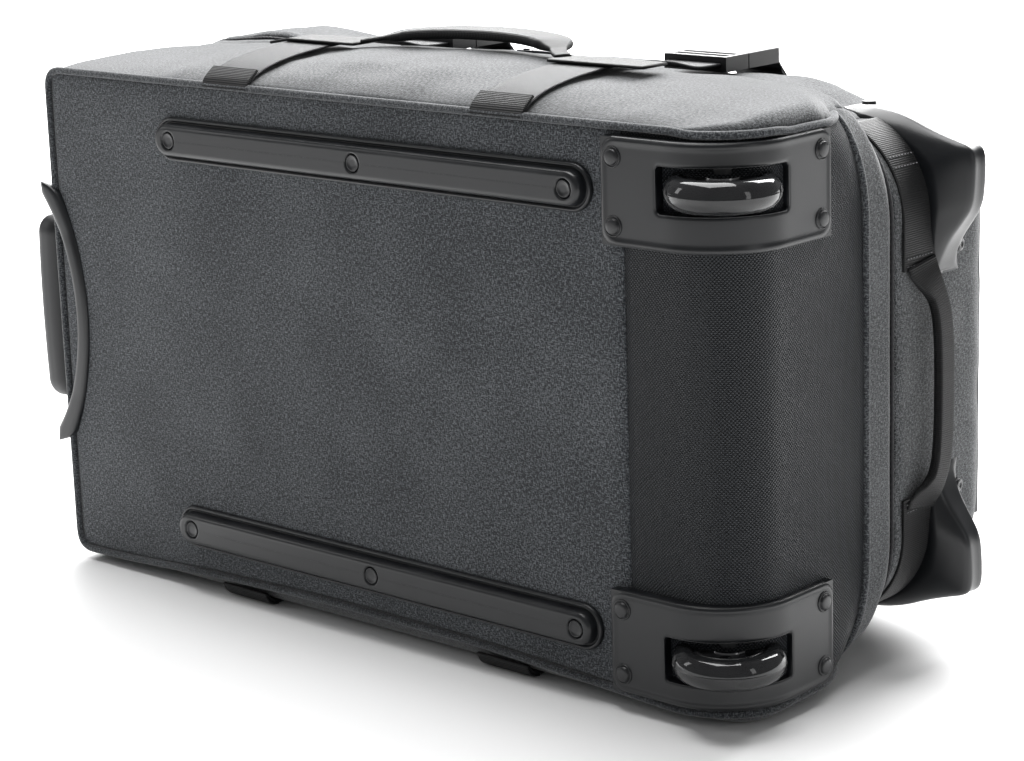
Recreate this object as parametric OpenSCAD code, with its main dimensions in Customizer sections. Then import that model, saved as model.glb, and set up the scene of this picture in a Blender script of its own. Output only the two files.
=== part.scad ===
// Two-wheeled travel duffel lying on its long side.
// +X runs from the trolley-handle end to the wheel end, +Y from the back panel to the front, +Z up.
// Everything is drawn with the back panel's handle corner near zero, then moved by row_shift, which
// puts the origin under the middle of the whole bag.

/* [Case] */
// Length from the handle end to the base
case_l = 616; // [600:1:630]
// Width of the back panel (vertical while the bag lies on its side)
case_w = 355; // [345:1:365]
// Depth from the back panel to the front face
case_d = 285; // [280:1:295]
// Thickness of the padded fabric walls
skin = 3.5; // [2.5:0.5:4]
// Radius of the rounded corner between the back panel and the base
wheel_corner_r = 42; // [38:1:46]

/* [Wheels] */
// Wheel radius
wheel_r = 35; // [32:1:36]
// Half the width of the tyre
wheel_half_t = 10; // [8:1:11]
// Height of each wheel's middle above or below the bag's middle
wheel_offset = 143.8; // [140:0.1:145]

/* [Trolley handle] */
// Half the distance between the two telescopic tubes
tube_offset = 50; // [44:1:54]
// Depth of the tubes' centre lines behind the back panel
tube_y = 16; // [15.5:0.5:18]

/* [Straps] */
// Width of the compression straps
strap_w = 42; // [38:1:42]
// Thickness of the webbing
web_t = 1.6; // [1.2:0.1:1.6]
// Middle of each upper compression strap along the bag
upper_strap_x = [189, 434.5]; // [150:0.5:480]
// Middle of each lower compression strap along the bag
lower_strap_x = [180, 424]; // [150:0.5:480]

/* [Front opening] */
// Handle-side edge of the zipped flap
flap_x0 = 46; // [40:1:60]
// Wheel-side edge of the flap, where it is sewn on
flap_x1 = 552; // [520:1:552]
// Margin from the flap to the case's two long sides
flap_margin = 50; // [46:1:70]

/* [Hidden] */
$fn = 48;

// Heights
mid_z = case_w / 2;
floor_z = -8;                  // the lower side is pressed flat here
handle_top_z = case_w + 32;    // top of the side carry handle
upper_wheel_z = mid_z + wheel_offset;
lower_wheel_z = mid_z - wheel_offset;

// The whole bag's ends, for the origin
grip_x = -38;
foot_x = case_l + 27;
wheel_x = case_l - 19;         // axle position
wheel_y = 13;
zip_top_y = case_d + 6;
row_shift = -[(grip_x + foot_x) / 2, (wheel_y - wheel_r + zip_top_y) / 2, floor_z];

// Borders between the panels
wrap_x = 532;                  // the back panel ends and the scuff wrap starts
corner_x = 566;                // the long sides end and the base end starts
edge_lo = 4;                   // lower edge of the scuff wrap
edge_hi = case_w - 4;          // upper edge of the scuff wrap
step_1 = 128;                  // depth where the base strip starts
step_2 = 157;                  // depth of the divider zip
front_y = case_d - 7;          // depth where the front panel starts
far = 60;                      // past every face of the case

// Plastic parts
rivet_x = [136.6, 315, 494];
rail_offset = 138.6;           // rails' distance from the bag's middle
rail_x = [118, 510];
rail_top_y = -9.5;
plate_half = 32.5;             // half the height of a wheel housing's plate
plate_x = 521.6;
plate_y = 88;
plate_z_upper = case_w - 37.5; // middle of the upper plate
well_half = 14.25;             // half the height of a wheel window
window_x = 563;
window_y = 46;
back_rivet_x = 530.7;
base_rivet_y = 78.4;
rivet_half = 20.75;            // rivets' distance from the plate's middle

// Webbing and buckles
strap_z = case_w + 8.5;        // underside of the upper straps at their buckles
bulge_z = case_w + 22.3;       // underside of the upper straps on the bulge
plug_y = 194;
plug_l = 24;
plug_w = 52;
plug_t = 10;
prong_l = 22;
socket_y = 219;
socket_l = 33;
tray_z = 3.2;                  // how far a lower buckle is pressed into the side
lower_strap_z = -3.4;          // underside of a lower strap inside its dent
base_web_y = [168, 204];

// Feet, handle cup, telescopic tubes, zip sliders and hand loops
foot_y = [206, 221];
cup_y1 = 58;
cup_z0 = mid_z - 69.5;
cup_z1 = mid_z + 69.5;
cup_x1 = 24;
outer_oval = [24, 15];
middle_oval = [21.2, 12.2];
inner_oval = [18.8, 9.8];
slider_a_x = 112;
slider_b_x = 140;
divider_slider_x = 316;
divider_z = case_w + 12.4;
side_axis = [88, case_w + 23.2];   // hinge line of the side handle, (Y, Z)
side_grip_x = [253, 392];
base_axis = [case_l + 1.5, 176];   // hinge line of the base handle, (X, Y)
base_grip_z = [112, 230];

// ---------- helpers ----------

module box(lo, hi) translate(lo) cube(hi - lo);
// Outline in (Y, Z) drawn out along X
module along_x(x0, x1) translate([x0, 0, 0]) rotate([90, 0, 90]) linear_extrude(x1 - x0) children();
// Outline in (X, Z) drawn out along Y
module along_y(y0, y1) translate([0, y1, 0]) rotate([90, 0, 0]) linear_extrude(y1 - y0) children();
// Outline in (X, Y) drawn out along Z
module along_z(z0, z1) translate([0, 0, z0]) linear_extrude(z1 - z0) children();
module rod_x(x0, x1, y, z, r) translate([x0, y, z]) rotate([0, 90, 0]) cylinder(h = x1 - x0, r = r);
module rod_y(y0, y1, x, z, r) translate([x, y1, z]) rotate([90, 0, 0]) cylinder(h = y1 - y0, r = r);
module rod_z(z0, z1, x, y, r) translate([x, y, z0]) cylinder(h = z1 - z0, r = r);
// Mirror image in the bag's middle plane
module mirrored() translate([0, 0, case_w]) mirror([0, 0, 1]) children();
module both() { children(); mirrored() children(); }
function arc(cx, cy, r, a0, a1, n = 8) =
    [for (i = [0:n]) [cx + r * cos(a0 + (a1 - a0) * i / n), cy + r * sin(a0 + (a1 - a0) * i / n)]];
// Rounded rectangle from true arcs
module round_rect(lo, hi, r) {
    translate([lo[0] + r, lo[1]]) square([hi[0] - lo[0] - 2 * r, hi[1] - lo[1]]);
    translate([lo[0], lo[1] + r]) square([hi[0] - lo[0], hi[1] - lo[1] - 2 * r]);
    for (x = [lo[0] + r, hi[0] - r], y = [lo[1] + r, hi[1] - r]) translate([x, y]) circle(r);
}
// Flat oval, w wide along the outline's second direction
module oval(w, t) {
    translate([-t / 2, -(w - t) / 2]) square([t, w - t]);
    for (s = [-1, 1]) translate([0, s * (w - t) / 2]) circle(t / 2);
}

// ---------- fabric case ----------

// Outline across the bag, pulled in by g: the upper side bulges, the lower one is flattened
module side_section(g) {
    w = case_w;
    d = case_d;
    upper = [[0, w - 2], [6, w + 4], [16, w + 8], [34, w + 13.5], [56, w + 18], [85, w + 20],
             [110, w + 19.5], [150, w + 14], [168, w + 3.5], [200, w + 3], [240, w + 1], [262, w - 6],
             [277, w - 20], [d, w - 43]];
    lower = [[d, 43], [277, 18], [262, 2], [240, floor_z], [22, floor_z], [8, -3], [0, 2]];
    polygon(concat([for (p = upper) [min(max(p[0], g), d - g), p[1] - g]],
                   [for (p = lower) [min(max(p[0], g), d - g), p[1] + g]]));
}

// Outline seen from the front, pulled in by g: r rounds the two base corners, and top and bottom
// are the heights of the sides next to them
module front_outline(g, r, top, bottom, shoulder_x, shoulder_z) {
    w = case_w;
    l = case_l;
    polygon(concat(
        [[g, w - 8], [g + 6, w + 1 - g], [60, w + 10 - g], [240, w + 21 - g], [400, w + 21 - g],
         [shoulder_x, shoulder_z - g], [l - r - 22, top + 2 - g]],
        arc(l - r, top - r, r - g, 90, 0),
        arc(l - r, bottom + r, r - g, 0, -90),
        [[l - r - 22, bottom - 2 + g], [shoulder_x, floor_z + g], [40, floor_z + g], [g + 6, -1 + g],
         [g, 8]]));
}

// Outline of the back and base seen along Z, pulled in by g
module wheel_corner(g) {
    r = wheel_corner_r;
    polygon(concat([[-far, g]], arc(case_l - r, r, r - g, -90, 0, 12),
                   [[case_l - g, case_d + far], [-far, case_d + far]]));
}

// The whole case as one solid, pulled in by g. It is the space that the three outlines share.
module case_form(g) intersection() {
    along_x(-far, case_l + far) side_section(g);
    union() {
        along_y(-far, step_1 - g) front_outline(g, 15, case_w + 11, -4, 520, case_w + 16);
        along_y(step_1 - g, step_2 - g) front_outline(g, 55, case_w + 5, -5, 520, case_w + 12);
        along_y(step_2 - g, case_d + far) front_outline(g, 50, case_w - 17, 17, 500, case_w + 9);
    }
    along_z(-far, case_w + far) wheel_corner(g);
}

// The part of the case's wall that lies in the children's space
module wall() difference() {
    intersection() {
        case_form(0);
        children();
    }
    case_form(skin);
}

module rail_rivet_bores(r, y0, y1) both() for (x = rivet_x) rod_y(y0, y1, x, mid_z + rail_offset, r);
module plate_rivet_bores(r) both() for (s = [-1, 1]) {
    rod_y(-12, 8, back_rivet_x, plate_z_upper + s * rivet_half, r);
    rod_x(case_l - 8, case_l + 8, base_rivet_y, plate_z_upper + s * rivet_half, r);
}

module back_panel() color("dimgray") difference() {
    wall() box([-far, -far, -far], [wrap_x, skin, case_w + far]);
    rail_rivet_bores(2.2, -2, 8);
    plate_rivet_bores(2.2);
}

module scuff_wrap() color("#1d1e20") difference() {
    wall() union() {
        box([wrap_x, -far, edge_lo], [case_l + far, skin, edge_hi]);
        box([corner_x, -far, edge_lo], [case_l + far, step_1 - skin, edge_hi]);
    }
    for (z = [upper_wheel_z, lower_wheel_z]) {
        rod_z(z - well_half - 3, z + well_half + 3, wheel_x, wheel_y, 43);
        rod_z(z - well_half - 7, z + well_half + 7, wheel_x, wheel_y, 8);
    }
    plate_rivet_bores(2.2);
}

module upper_side() color("gray") wall() union() {
    box([skin, skin, mid_z], [corner_x, front_y, case_w + far]);
    box([wrap_x, -far, edge_hi], [case_l + far, step_1 - skin, case_w + far]);
}

// Dents that the lower buckles press into the side, with their fabric walls when solid is true
module lower_dents(solid) for (x = lower_strap_x) {
    m = solid ? skin : 0;
    box([x - plug_w / 2 - 1.5 - m, 134 - m, floor_z - 1 + m / 2],
        [x + plug_w / 2 + 1.5 + m, 263 + m, tray_z + m]);
}

module lower_side() color("dimgray") difference() {
    union() {
        wall() union() {
            box([skin, skin, -far], [corner_x, front_y, mid_z]);
            box([wrap_x, -far, -far], [case_l + far, step_1 - skin, edge_lo]);
        }
        intersection() {
            lower_dents(true);
            case_form(0);
        }
    }
    lower_dents(false);
    for (x = lower_strap_x)
        box([x - strap_w / 2 - 1, -far, floor_z - 1], [x + strap_w / 2 + 1, 140, floor_z + 2.4]);
}

module handle_end() color("dimgray") difference() {
    wall() box([-far, skin, -far], [skin, front_y, case_w + far]);
    box([-far, 0, cup_z0 - 0.1], [far, cup_y1 + 0.1, cup_z1 + 0.1]);
}

module base_end() color("dimgray") wall() box([corner_x, step_1 - skin, -far],
                                               [case_l + far, front_y, case_w + far]);

// Outline of the zipped flap, grown by g
module flap_outline(g) round_rect([flap_x0 - g, flap_margin - g],
                                  [flap_x1 + g, case_w - flap_margin + g], 34);

module front_frame() color("dimgray") difference() {
    wall() box([-far, front_y, -far], [case_l + far, case_d + far, case_w + far]);
    along_y(front_y - 1, case_d + far) flap_outline(1.5);
}

module front_flap() color("gray") intersection() {
    along_y(case_d - skin, case_d) flap_outline(0);
    case_form(0);
}

module back_piping() color("#3a3b3e") difference() {
    along_y(-2.5, 0) difference() {
        translate([0, 3]) square([wrap_x, case_w - 6]);
        translate([4, 7]) square([wrap_x, case_w - 14]);
    }
    box([-1, -far, mid_z - 98], [30, far, mid_z + 98]);
    box([plate_x - 0.5, -far, -far], [case_l, far, case_w + far]);
}

// ---------- stiffeners inside ----------

module back_board() color("whitesmoke") difference() {
    box([30, skin, 12], [518, skin + 2, case_w - 12]);
    rail_rivet_bores(2.2, -2, 8);
}

module base_board() color("whitesmoke")
    box([case_l - skin - 2, 92, 70], [case_l - skin, 262, case_w - 70]);

module tube_cover() color("#26272a") difference() {
    box([24, skin + 2, cup_z0 - 4], [480, 32, cup_z1 + 4]);
    box([23, skin + 1, cup_z0 - 2.5], [478.5, 30.5, cup_z1 + 2.5]);
    box([23, skin + 1, cup_z0 - 5], [30.1, skin + 2, cup_z1 + 5]);
}

// ---------- back rails ----------

module rail() difference() {
    union() {
        along_y(-3, 0) round_rect([rail_x[0], mid_z + rail_offset - 14.75],
                                  [rail_x[1], mid_z + rail_offset + 14.75], 12);
        along_y(-7, -3) round_rect([rail_x[0] + 4, mid_z + rail_offset - 12],
                                   [rail_x[1] - 4, mid_z + rail_offset + 12], 10);
        along_y(rail_top_y, -7) round_rect([rail_x[0] + 5, mid_z + rail_offset - 10.5],
                                           [rail_x[1] - 5, mid_z + rail_offset + 10.5], 9);
    }
    for (x = rivet_x) {
        rod_y(rail_top_y - 1, rail_top_y + 2.5, x, mid_z + rail_offset, 6.5);
        rod_y(rail_top_y - 1, 1, x, mid_z + rail_offset, 2.2);
    }
}

module upper_rail() color("#232427") rail();
module lower_rail() color("#232427") mirrored() rail();

module rail_rivets() color("#101113") both() for (x = rivet_x) {
    rod_y(rail_top_y + 0.6, rail_top_y + 2.5, x, mid_z + rail_offset, 5);
    rod_y(rail_top_y + 2, skin + 4, x, mid_z + rail_offset, 2);
    rod_y(skin + 2, skin + 3.5, x, mid_z + rail_offset, 4.5);
}

// ---------- wheel housings, wheels and feet ----------

// Outline of a housing's outside seen along Z, pulled in by g
module plate_outline(g) {
    r = wheel_corner_r + 8;
    polygon(concat([[-far, -7 + g]], arc(case_l + 4 - r, r - 7, r - g, -90, 0, 12),
                   [[case_l + 4 - g, case_d], [-far, case_d]]));
}

// The band of the corner that a housing's plate covers, less m at its edges
module plate_zone(m) {
    z = plate_z_upper;
    box([plate_x + m, -far, z - plate_half + m], [case_l + far, plate_y - m, z + plate_half - m]);
}

module housing() {
    z = upper_wheel_z;
    difference() {
        union() {
            difference() {
                union() {
                    // curved plate
                    intersection() {
                        plate_zone(0);
                        along_z(z - far, z + far) difference() {
                            plate_outline(0);
                            plate_outline(3);
                        }
                    }
                    // rim down to the fabric, and bosses under the rivets
                    intersection() {
                        union() {
                            difference() {
                                plate_zone(0);
                                plate_zone(3);
                            }
                            plate_rivet_bores(6);
                        }
                        along_z(mid_z, case_w) difference() {
                            plate_outline(0);
                            wheel_corner(0);
                        }
                    }
                }
                box([window_x, -far, z - well_half], [case_l + far, window_y, z + well_half]);
            }
            // round well with its two cheeks and axle bosses
            intersection() {
                along_z(z - far, z + far) plate_outline(2);
                union() {
                    difference() {
                        rod_z(z - well_half - 2.5, z + well_half + 2.5, wheel_x, wheel_y, 42.5);
                        rod_z(z - well_half, z + well_half, wheel_x, wheel_y, 39);
                    }
                    for (s = [-1, 1]) rod_z(z + s * 12.4 - 2, z + s * 12.4 + 2, wheel_x, wheel_y, 7);
                }
            }
        }
        rod_z(z - far, z + far, wheel_x, wheel_y, 4.1);
        plate_rivet_bores(2.2);
    }
}

module upper_housing() color("#2b2c2f") housing();
module lower_housing() color("#2b2c2f") mirrored() housing();

module housing_rivets() color("#101113") both() for (s = [-1, 1]) {
    z = plate_z_upper + s * rivet_half;
    rod_y(-9.2, -7, back_rivet_x, z, 5);
    rod_y(-8, skin + 2, back_rivet_x, z, 2);
    rod_y(skin, skin + 1.5, back_rivet_x, z, 4.5);
    rod_x(case_l + 4, case_l + 6.2, base_rivet_y, z, 5);
    rod_x(case_l - skin - 2, case_l + 5, base_rivet_y, z, 2);
    rod_x(case_l - skin - 1.5, case_l - skin, base_rivet_y, z, 4.5);
}

module wheel_axles() color("silver") both() {
    z = upper_wheel_z;
    rod_z(z - well_half - 5, z + well_half + 5, wheel_x, wheel_y, 4);
    for (s = [-1, 1]) rod_z(z + s * 18.4 - 1.6, z + s * 18.4 + 1.6, wheel_x, wheel_y, 6.5);
}

module tyre(z) translate([wheel_x, wheel_y, z]) rotate_extrude($fn = 72)
    polygon(concat([[24, -8], [27, -wheel_half_t + 0.5]],
                   [for (a = [-80:16:80]) [wheel_r - 8 + 8 * cos(a), wheel_half_t * sin(a)]],
                   [[27, wheel_half_t - 0.5], [24, 8]]));

module hub(z) translate([wheel_x, wheel_y, z]) difference() {
    cylinder(h = 16, r = 24, center = true);
    for (s = [-1, 1]) translate([0, 0, s * 5.5]) cylinder(h = 8, r = 11, center = true);
    cylinder(h = 30, r = 6, center = true);
    for (i = [0:5]) rotate([0, 0, i * 60]) translate([17.2, 0, 0]) cylinder(h = 30, r = 4, center = true);
}

module bearings(z) for (s = [-1, 1]) translate([wheel_x, wheel_y, z + s * 5]) difference() {
    cylinder(h = 7, r = 11, center = true);
    cylinder(h = 9, r = 4.05, center = true);
}

module upper_tyre() color("#3c4043") tyre(upper_wheel_z);
module upper_hub() color("#101113") hub(upper_wheel_z);
module upper_bearings() color("silver") bearings(upper_wheel_z);
module lower_tyre() color("#3c4043") tyre(lower_wheel_z);
module lower_hub() color("#101113") hub(lower_wheel_z);
module lower_bearings() color("silver") bearings(lower_wheel_z);

module foot_screw_bores(r) {
    rod_x(case_l - 10, case_l + 10, 225.5, 256.5, r);
    rod_z(320, 360, 560, 213.5, r);
}

module foot_solid() difference() {
    union() {
        along_y(foot_y[0], foot_y[1]) polygon([[549, 335], [549, 343.5], [569, 343], [589, 339.5], [615, 330],
            [640, 322], [foot_x, 318], [foot_x - 1, 284], [631, 271], [619, 247], [600, 247], [600, 320]]);
        along_y(foot_y[0], foot_y[1] + 11) polygon([[case_l - 2, 247], [case_l + 3, 247], [case_l + 3, 268],
            [case_l - 2, 268]]);
    }
    foot_screw_bores(2.6);
    // hollow behind the outer face
    along_y(foot_y[0] + 3, foot_y[1] + 1) polygon([[592, 334], [615, 326], [638, 318], [638, 285],
        [627, 272], [600, 272]]);
}

module upper_foot() color("#1b1c1f") difference() {
    foot_solid();
    case_form(0);
}

module lower_foot() color("#1b1c1f") difference() {
    mirrored() foot_solid();
    case_form(0);
}

module foot_screws() color("#101113") both() {
    rod_x(case_l + 3, case_l + 5, 225.5, 256.5, 4.5);
    rod_x(case_l + 0.2, case_l + 4, 225.5, 256.5, 2.5);
    rod_z(343.5, 345.5, 560, 213.5, 4.5);
    rod_z(340.5, 344, 560, 213.5, 2.5);
}

// ---------- trolley handle ----------

module tubes(x0, x1, size, wall) for (s = [-1, 1]) translate([0, tube_y, mid_z + s * tube_offset])
    along_x(x0, x1) difference() {
        oval(size[0], size[1]);
        oval(size[0] - 2 * wall, size[1] - 2 * wall);
    }

module tube_bores(x0, x1, size) for (s = [-1, 1]) translate([0, tube_y, mid_z + s * tube_offset])
    along_x(x0, x1) oval(size[0], size[1]);

module handle_cup() color("#1f2023") difference() {
    box([0, skin, cup_z0], [cup_x1, cup_y1, cup_z1]);
    box([-1, skin + 2, cup_z0 + 2], [cup_x1 - 2, cup_y1 - 2, cup_z1 - 2]);
    tube_bores(0, far, [21.6, 12.6]);
}

// Crescent around the grip: two ears beyond the end of the case, and a lip on the back panel
module crescent() intersection() {
    difference() {
        translate([-164.6, mid_z]) circle(191.3, $fn = 96);
        translate([-128.8, mid_z]) circle(139.7, $fn = 96);
    }
    polygon([[-20, mid_z + 84], [1, mid_z + 96], [40, mid_z + 110],
             [40, mid_z - 110], [1, mid_z - 96], [-20, mid_z - 84]]);
}

module handle_bezel() color("#2b2c2f") difference() {
    union() {
        along_y(-4, 0) crescent();
        intersection() {
            along_y(-4, 34) crescent();
            box([-far, -far, -far], [0, far, case_w + far]);
        }
        box([-2, -4, cup_z0 - 6], [0, cup_y1 + 6, cup_z1 + 6]);
    }
    box([-far, skin + 2, cup_z0 + 2], [far, cup_y1 - 2, cup_z1 - 2]);
}

module outer_tubes() color("#35363a") tubes(cup_x1, 470, outer_oval, 1.2);
module middle_tubes() color("#5a5c60") tubes(cup_x1 - 2, 455, middle_oval, 1);
module inner_tubes() color("#77797d") tubes(-16, 445, inner_oval, 1);
module tube_base() color("#1f2023") box([470, 8, mid_z - 66], [478, 24, mid_z + 66]);

// The grip is hollow: the button's bar moves in it and pushes the rods in the tubes
module grip() color("#232427") difference() {
    union() {
        translate([-22, tube_y, 0]) rod_z(mid_z - 56, mid_z + 56, 0, 0, 13);
        for (s = [-1, 1]) translate([-22, tube_y, mid_z + s * 56]) sphere(13, $fn = 48);
        intersection() {
            tube_bores(-22, -12, [24, 14]);
            box([-22, 0, 0], [-12, far, case_w]);
        }
    }
    box([-30, tube_y - 5, mid_z - 58], [-18, tube_y + 5, mid_z + 58]);
    box([-40, tube_y - 5, mid_z - 14], [-29, tube_y + 5, mid_z + 14]);
    tube_bores(-16, 0, inner_oval);
    tube_bores(-19, -15, [8, 6]);
}

module release_button() color("#101113") {
    box([grip_x, tube_y - 4.5, mid_z - 13.5], [-28, tube_y + 4.5, mid_z + 13.5]);
    box([-28, tube_y - 4, mid_z - 56], [-24.5, tube_y + 4, mid_z + 56]);
}

module release_rods() color("silver") for (s = [-1, 1])
    rod_x(-24.5, 440, tube_y, mid_z + s * tube_offset, 2.2);

// ---------- zips ----------

module frame_zip() color("#101113") along_y(case_d, case_d + 1.2) difference() {
    flap_outline(7);
    flap_outline(1.5);
    translate([flap_x1 - 12, 0]) square([40, case_w]);
}

module flap_zip() color("#101113") along_y(case_d, case_d + 1.2) difference() {
    flap_outline(0);
    flap_outline(-5);
    translate([flap_x1 - 12, 0]) square([40, case_w]);
}

// Thin band around the case in the groove between its two halves
module divider_zip() color("#101113") difference() {
    intersection() {
        case_form(-2);
        box([70, step_2 + 0.5, floor_z + 0.1], [case_l + far, step_2 + 4.5, case_w + far]);
    }
    case_form(0);
    for (x = lower_strap_x) box([x - 28, 0, -far], [x + 28, case_d, 4]);
}

// Slider and pull of the flap's zip, the pull lying towards side s
module flap_slider(x) translate([x - 6, case_d + 1.4, case_w - flap_margin + 2.2]) {
    cube([12, 2.4, 6]);
    translate([4, 2.4, 2]) cube([4, 1, 2]);
}

module flap_pull(x, s) translate([x, case_d + 4.9, case_w - flap_margin + 2.2])
    translate([s > 0 ? 7 : -37, -0.6, 0.6]) cube([30, 1.7, 4.8]);

module flap_slider_a() color("dimgray") flap_slider(slider_a_x);
module flap_slider_b() color("dimgray") flap_slider(slider_b_x);
module flap_pull_a() color("#101113") flap_pull(slider_a_x, -1);
module flap_pull_b() color("#101113") flap_pull(slider_b_x, 1);

module divider_slider() color("dimgray") {
    box([divider_slider_x - 6, step_2, divider_z], [divider_slider_x + 6, step_2 + 6, divider_z + 2.4]);
    box([divider_slider_x - 2, step_2 + 2, divider_z + 2.4], [divider_slider_x + 2, step_2 + 4, divider_z + 3.4]);
}

module divider_pull() color("#101113") box([divider_slider_x + 7, step_2 + 0.6, divider_z + 0.9],
                                           [divider_slider_x + 37, step_2 + 5.4, divider_z + 2.6]);

// ---------- webbing, buckles and handles ----------

module base_webbing() color("#141517") difference() {
    intersection() {
        case_form(-web_t);
        union() {
            box([585, base_web_y[0], 248], [case_l + far, base_web_y[1], 334]);
            box([585, base_web_y[0], case_w - 334], [case_l + far, base_web_y[1], 100]);
        }
    }
    case_form(0);
}

// Webbing outline in (Y, Z): a line of points with thickness web_t above it
module web(points) polygon(concat(points, [for (i = [len(points) - 1:-1:0]) points[i] + [0, web_t]]));

module compression_straps() color("#141517") {
    for (x = upper_strap_x) along_x(x - strap_w / 2, x + strap_w / 2)
        web([[2, case_w + 1], [14, case_w + 11], [40, case_w + 18.5], [75, bulge_z], [112, bulge_z],
                 [140, case_w + 18], [152, case_w + 16], [169, strap_z + 0.4], [plug_y - 1.5, strap_z]]);
    for (x = lower_strap_x) along_x(x - strap_w / 2, x + strap_w / 2)
        web([[6, floor_z + 0.3], [136, floor_z + 0.3], [148, lower_strap_z], [plug_y - 1.5, lower_strap_z]]);
}

// Buckle halves around a strap whose underside is at height 0
module plug() {
    difference() {
        translate([-plug_w / 2, plug_y, web_t / 2 - plug_t / 2]) cube([plug_w, plug_l, plug_t]);
        translate([-strap_w / 2 - 0.8, plug_y - 1, -0.6]) cube([strap_w + 1.6, plug_l + 2, web_t + 1.2]);
        translate([-strap_w / 2 - 0.8, plug_y + 5, 0]) cube([strap_w + 1.6, 5, plug_t]);
        translate([-strap_w / 2 - 0.8, plug_y + 14, 0]) cube([strap_w + 1.6, 5, plug_t]);
    }
    for (s = [-1, 1]) translate([s * 16 - 4, plug_y + plug_l, web_t / 2 - 3]) cube([8, prong_l, 6]);
}

module socket() difference() {
    translate([-plug_w / 2, socket_y, web_t / 2 - plug_t / 2]) cube([plug_w, socket_l, plug_t]);
    translate([-plug_w / 2 + 3, socket_y - 1, web_t / 2 - 3.5]) cube([plug_w - 6, socket_l - 4, 7]);
}

module buckle_sockets() color("#101113") {
    for (x = upper_strap_x) {
        translate([x, 0, strap_z]) socket();
        along_x(x - strap_w / 2, x + strap_w / 2)
            web([[socket_y + socket_l, strap_z - 1], [socket_y + socket_l + 6, strap_z - 4],
                 [262, case_w - 3.5], [276, case_w - 16]]);
    }
    for (x = lower_strap_x) {
        translate([x, 0, lower_strap_z]) socket();
        along_x(x - strap_w / 2, x + strap_w / 2)
            web([[socket_y + socket_l, lower_strap_z], [262, lower_strap_z + 3]]);
    }
}

module upper_plug_a() color("#101113") translate([upper_strap_x[0], 0, strap_z]) plug();
module upper_plug_b() color("#101113") translate([upper_strap_x[1], 0, strap_z]) plug();
module lower_plug_a() color("#101113") translate([lower_strap_x[0], 0, lower_strap_z]) plug();
module lower_plug_b() color("#101113") translate([lower_strap_x[1], 0, lower_strap_z]) plug();

module handle_anchors() color("#141517") for (r = [[214, 232], [411, 412.9]])
    box([r[0], side_axis[0] - 2, case_w + 20.3], [r[1], side_axis[0] + 30, case_w + 20.3 + web_t]);

module side_handle() color("#141517") {
    for (r = [[233, side_grip_x[0]], [side_grip_x[1], 410]])
        box([r[0], side_axis[0] + 0.4, side_axis[1] - 0.8], [r[1], side_axis[0] + 30, side_axis[1] + 0.8]);
    along_x(side_grip_x[0], side_grip_x[1]) round_rect([side_axis[0] + 12, side_axis[1] + 0.8],
                                                       [side_axis[0] + 40, handle_top_z], 3.5);
    along_x(side_grip_x[0], side_grip_x[1]) translate([side_axis[0] + 12, side_axis[1] - 0.8]) square([18, 2]);
}

module base_handle() color("#141517")
    along_y(base_axis[1] + 2, base_axis[1] + 29.4) polygon([
        [case_l + 0.3, 247.5], [case_l + 2.3, 247.5], [case_l + 14, base_grip_z[1]],
        [case_l + 14, base_grip_z[0]], [case_l + 2.3, 100.5], [case_l + 0.3, 100.5],
        [case_l + 6.5, base_grip_z[0]], [case_l + 6.5, base_grip_z[1]]]);

translate(row_shift) {
    back_panel();
    scuff_wrap();
    upper_side();
    lower_side();
    handle_end();
    base_end();
    front_frame();
    back_piping();
    back_board();
    base_board();
    tube_cover();
    upper_rail();
    lower_rail();
    rail_rivets();
    upper_housing();
    lower_housing();
    housing_rivets();
    wheel_axles();
    upper_foot();
    lower_foot();
    foot_screws();
    handle_bezel();
    handle_cup();
    outer_tubes();
    tube_base();
    frame_zip();
    divider_zip();
    base_webbing();
    handle_anchors();
    compression_straps();
    buckle_sockets();
    front_flap();
    flap_zip();
    middle_tubes();
    inner_tubes();
    grip();
    release_button();
    release_rods();
    upper_tyre();
    upper_hub();
    upper_bearings();
    lower_tyre();
    lower_hub();
    lower_bearings();
    divider_slider();
    divider_pull();
    flap_slider_a();
    flap_pull_a();
    flap_slider_b();
    flap_pull_b();
    upper_plug_a();
    upper_plug_b();
    lower_plug_a();
    lower_plug_b();
    side_handle();
    base_handle();
}
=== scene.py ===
import math

import bpy
import numpy as np
from mathutils import Matrix, Vector, noise


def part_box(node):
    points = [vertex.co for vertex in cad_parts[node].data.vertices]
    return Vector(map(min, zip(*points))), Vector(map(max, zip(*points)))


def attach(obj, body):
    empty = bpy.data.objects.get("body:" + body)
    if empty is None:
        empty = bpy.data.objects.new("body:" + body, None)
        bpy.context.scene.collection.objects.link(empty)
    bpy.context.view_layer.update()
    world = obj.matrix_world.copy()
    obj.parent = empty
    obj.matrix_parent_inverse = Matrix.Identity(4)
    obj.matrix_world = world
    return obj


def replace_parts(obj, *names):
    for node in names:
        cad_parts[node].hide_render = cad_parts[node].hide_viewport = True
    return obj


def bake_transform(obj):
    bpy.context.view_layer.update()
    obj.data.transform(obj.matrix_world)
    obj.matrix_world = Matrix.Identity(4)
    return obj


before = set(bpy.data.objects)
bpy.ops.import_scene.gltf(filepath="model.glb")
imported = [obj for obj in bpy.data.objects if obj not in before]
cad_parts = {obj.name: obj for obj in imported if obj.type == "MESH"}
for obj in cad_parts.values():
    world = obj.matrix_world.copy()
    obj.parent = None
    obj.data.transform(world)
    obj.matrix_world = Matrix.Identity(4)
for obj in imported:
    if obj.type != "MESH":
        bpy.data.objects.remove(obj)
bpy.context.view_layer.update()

# ---------------------------------------------------------------- places
# Every length below is in millimetres in the bag's own frame: X runs from the handle end to the
# base, Y from the back panel to the front, Z across the width.
MM = 0.001
back_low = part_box("back_panel")[0]
side_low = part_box("lower_side")[0]
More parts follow.
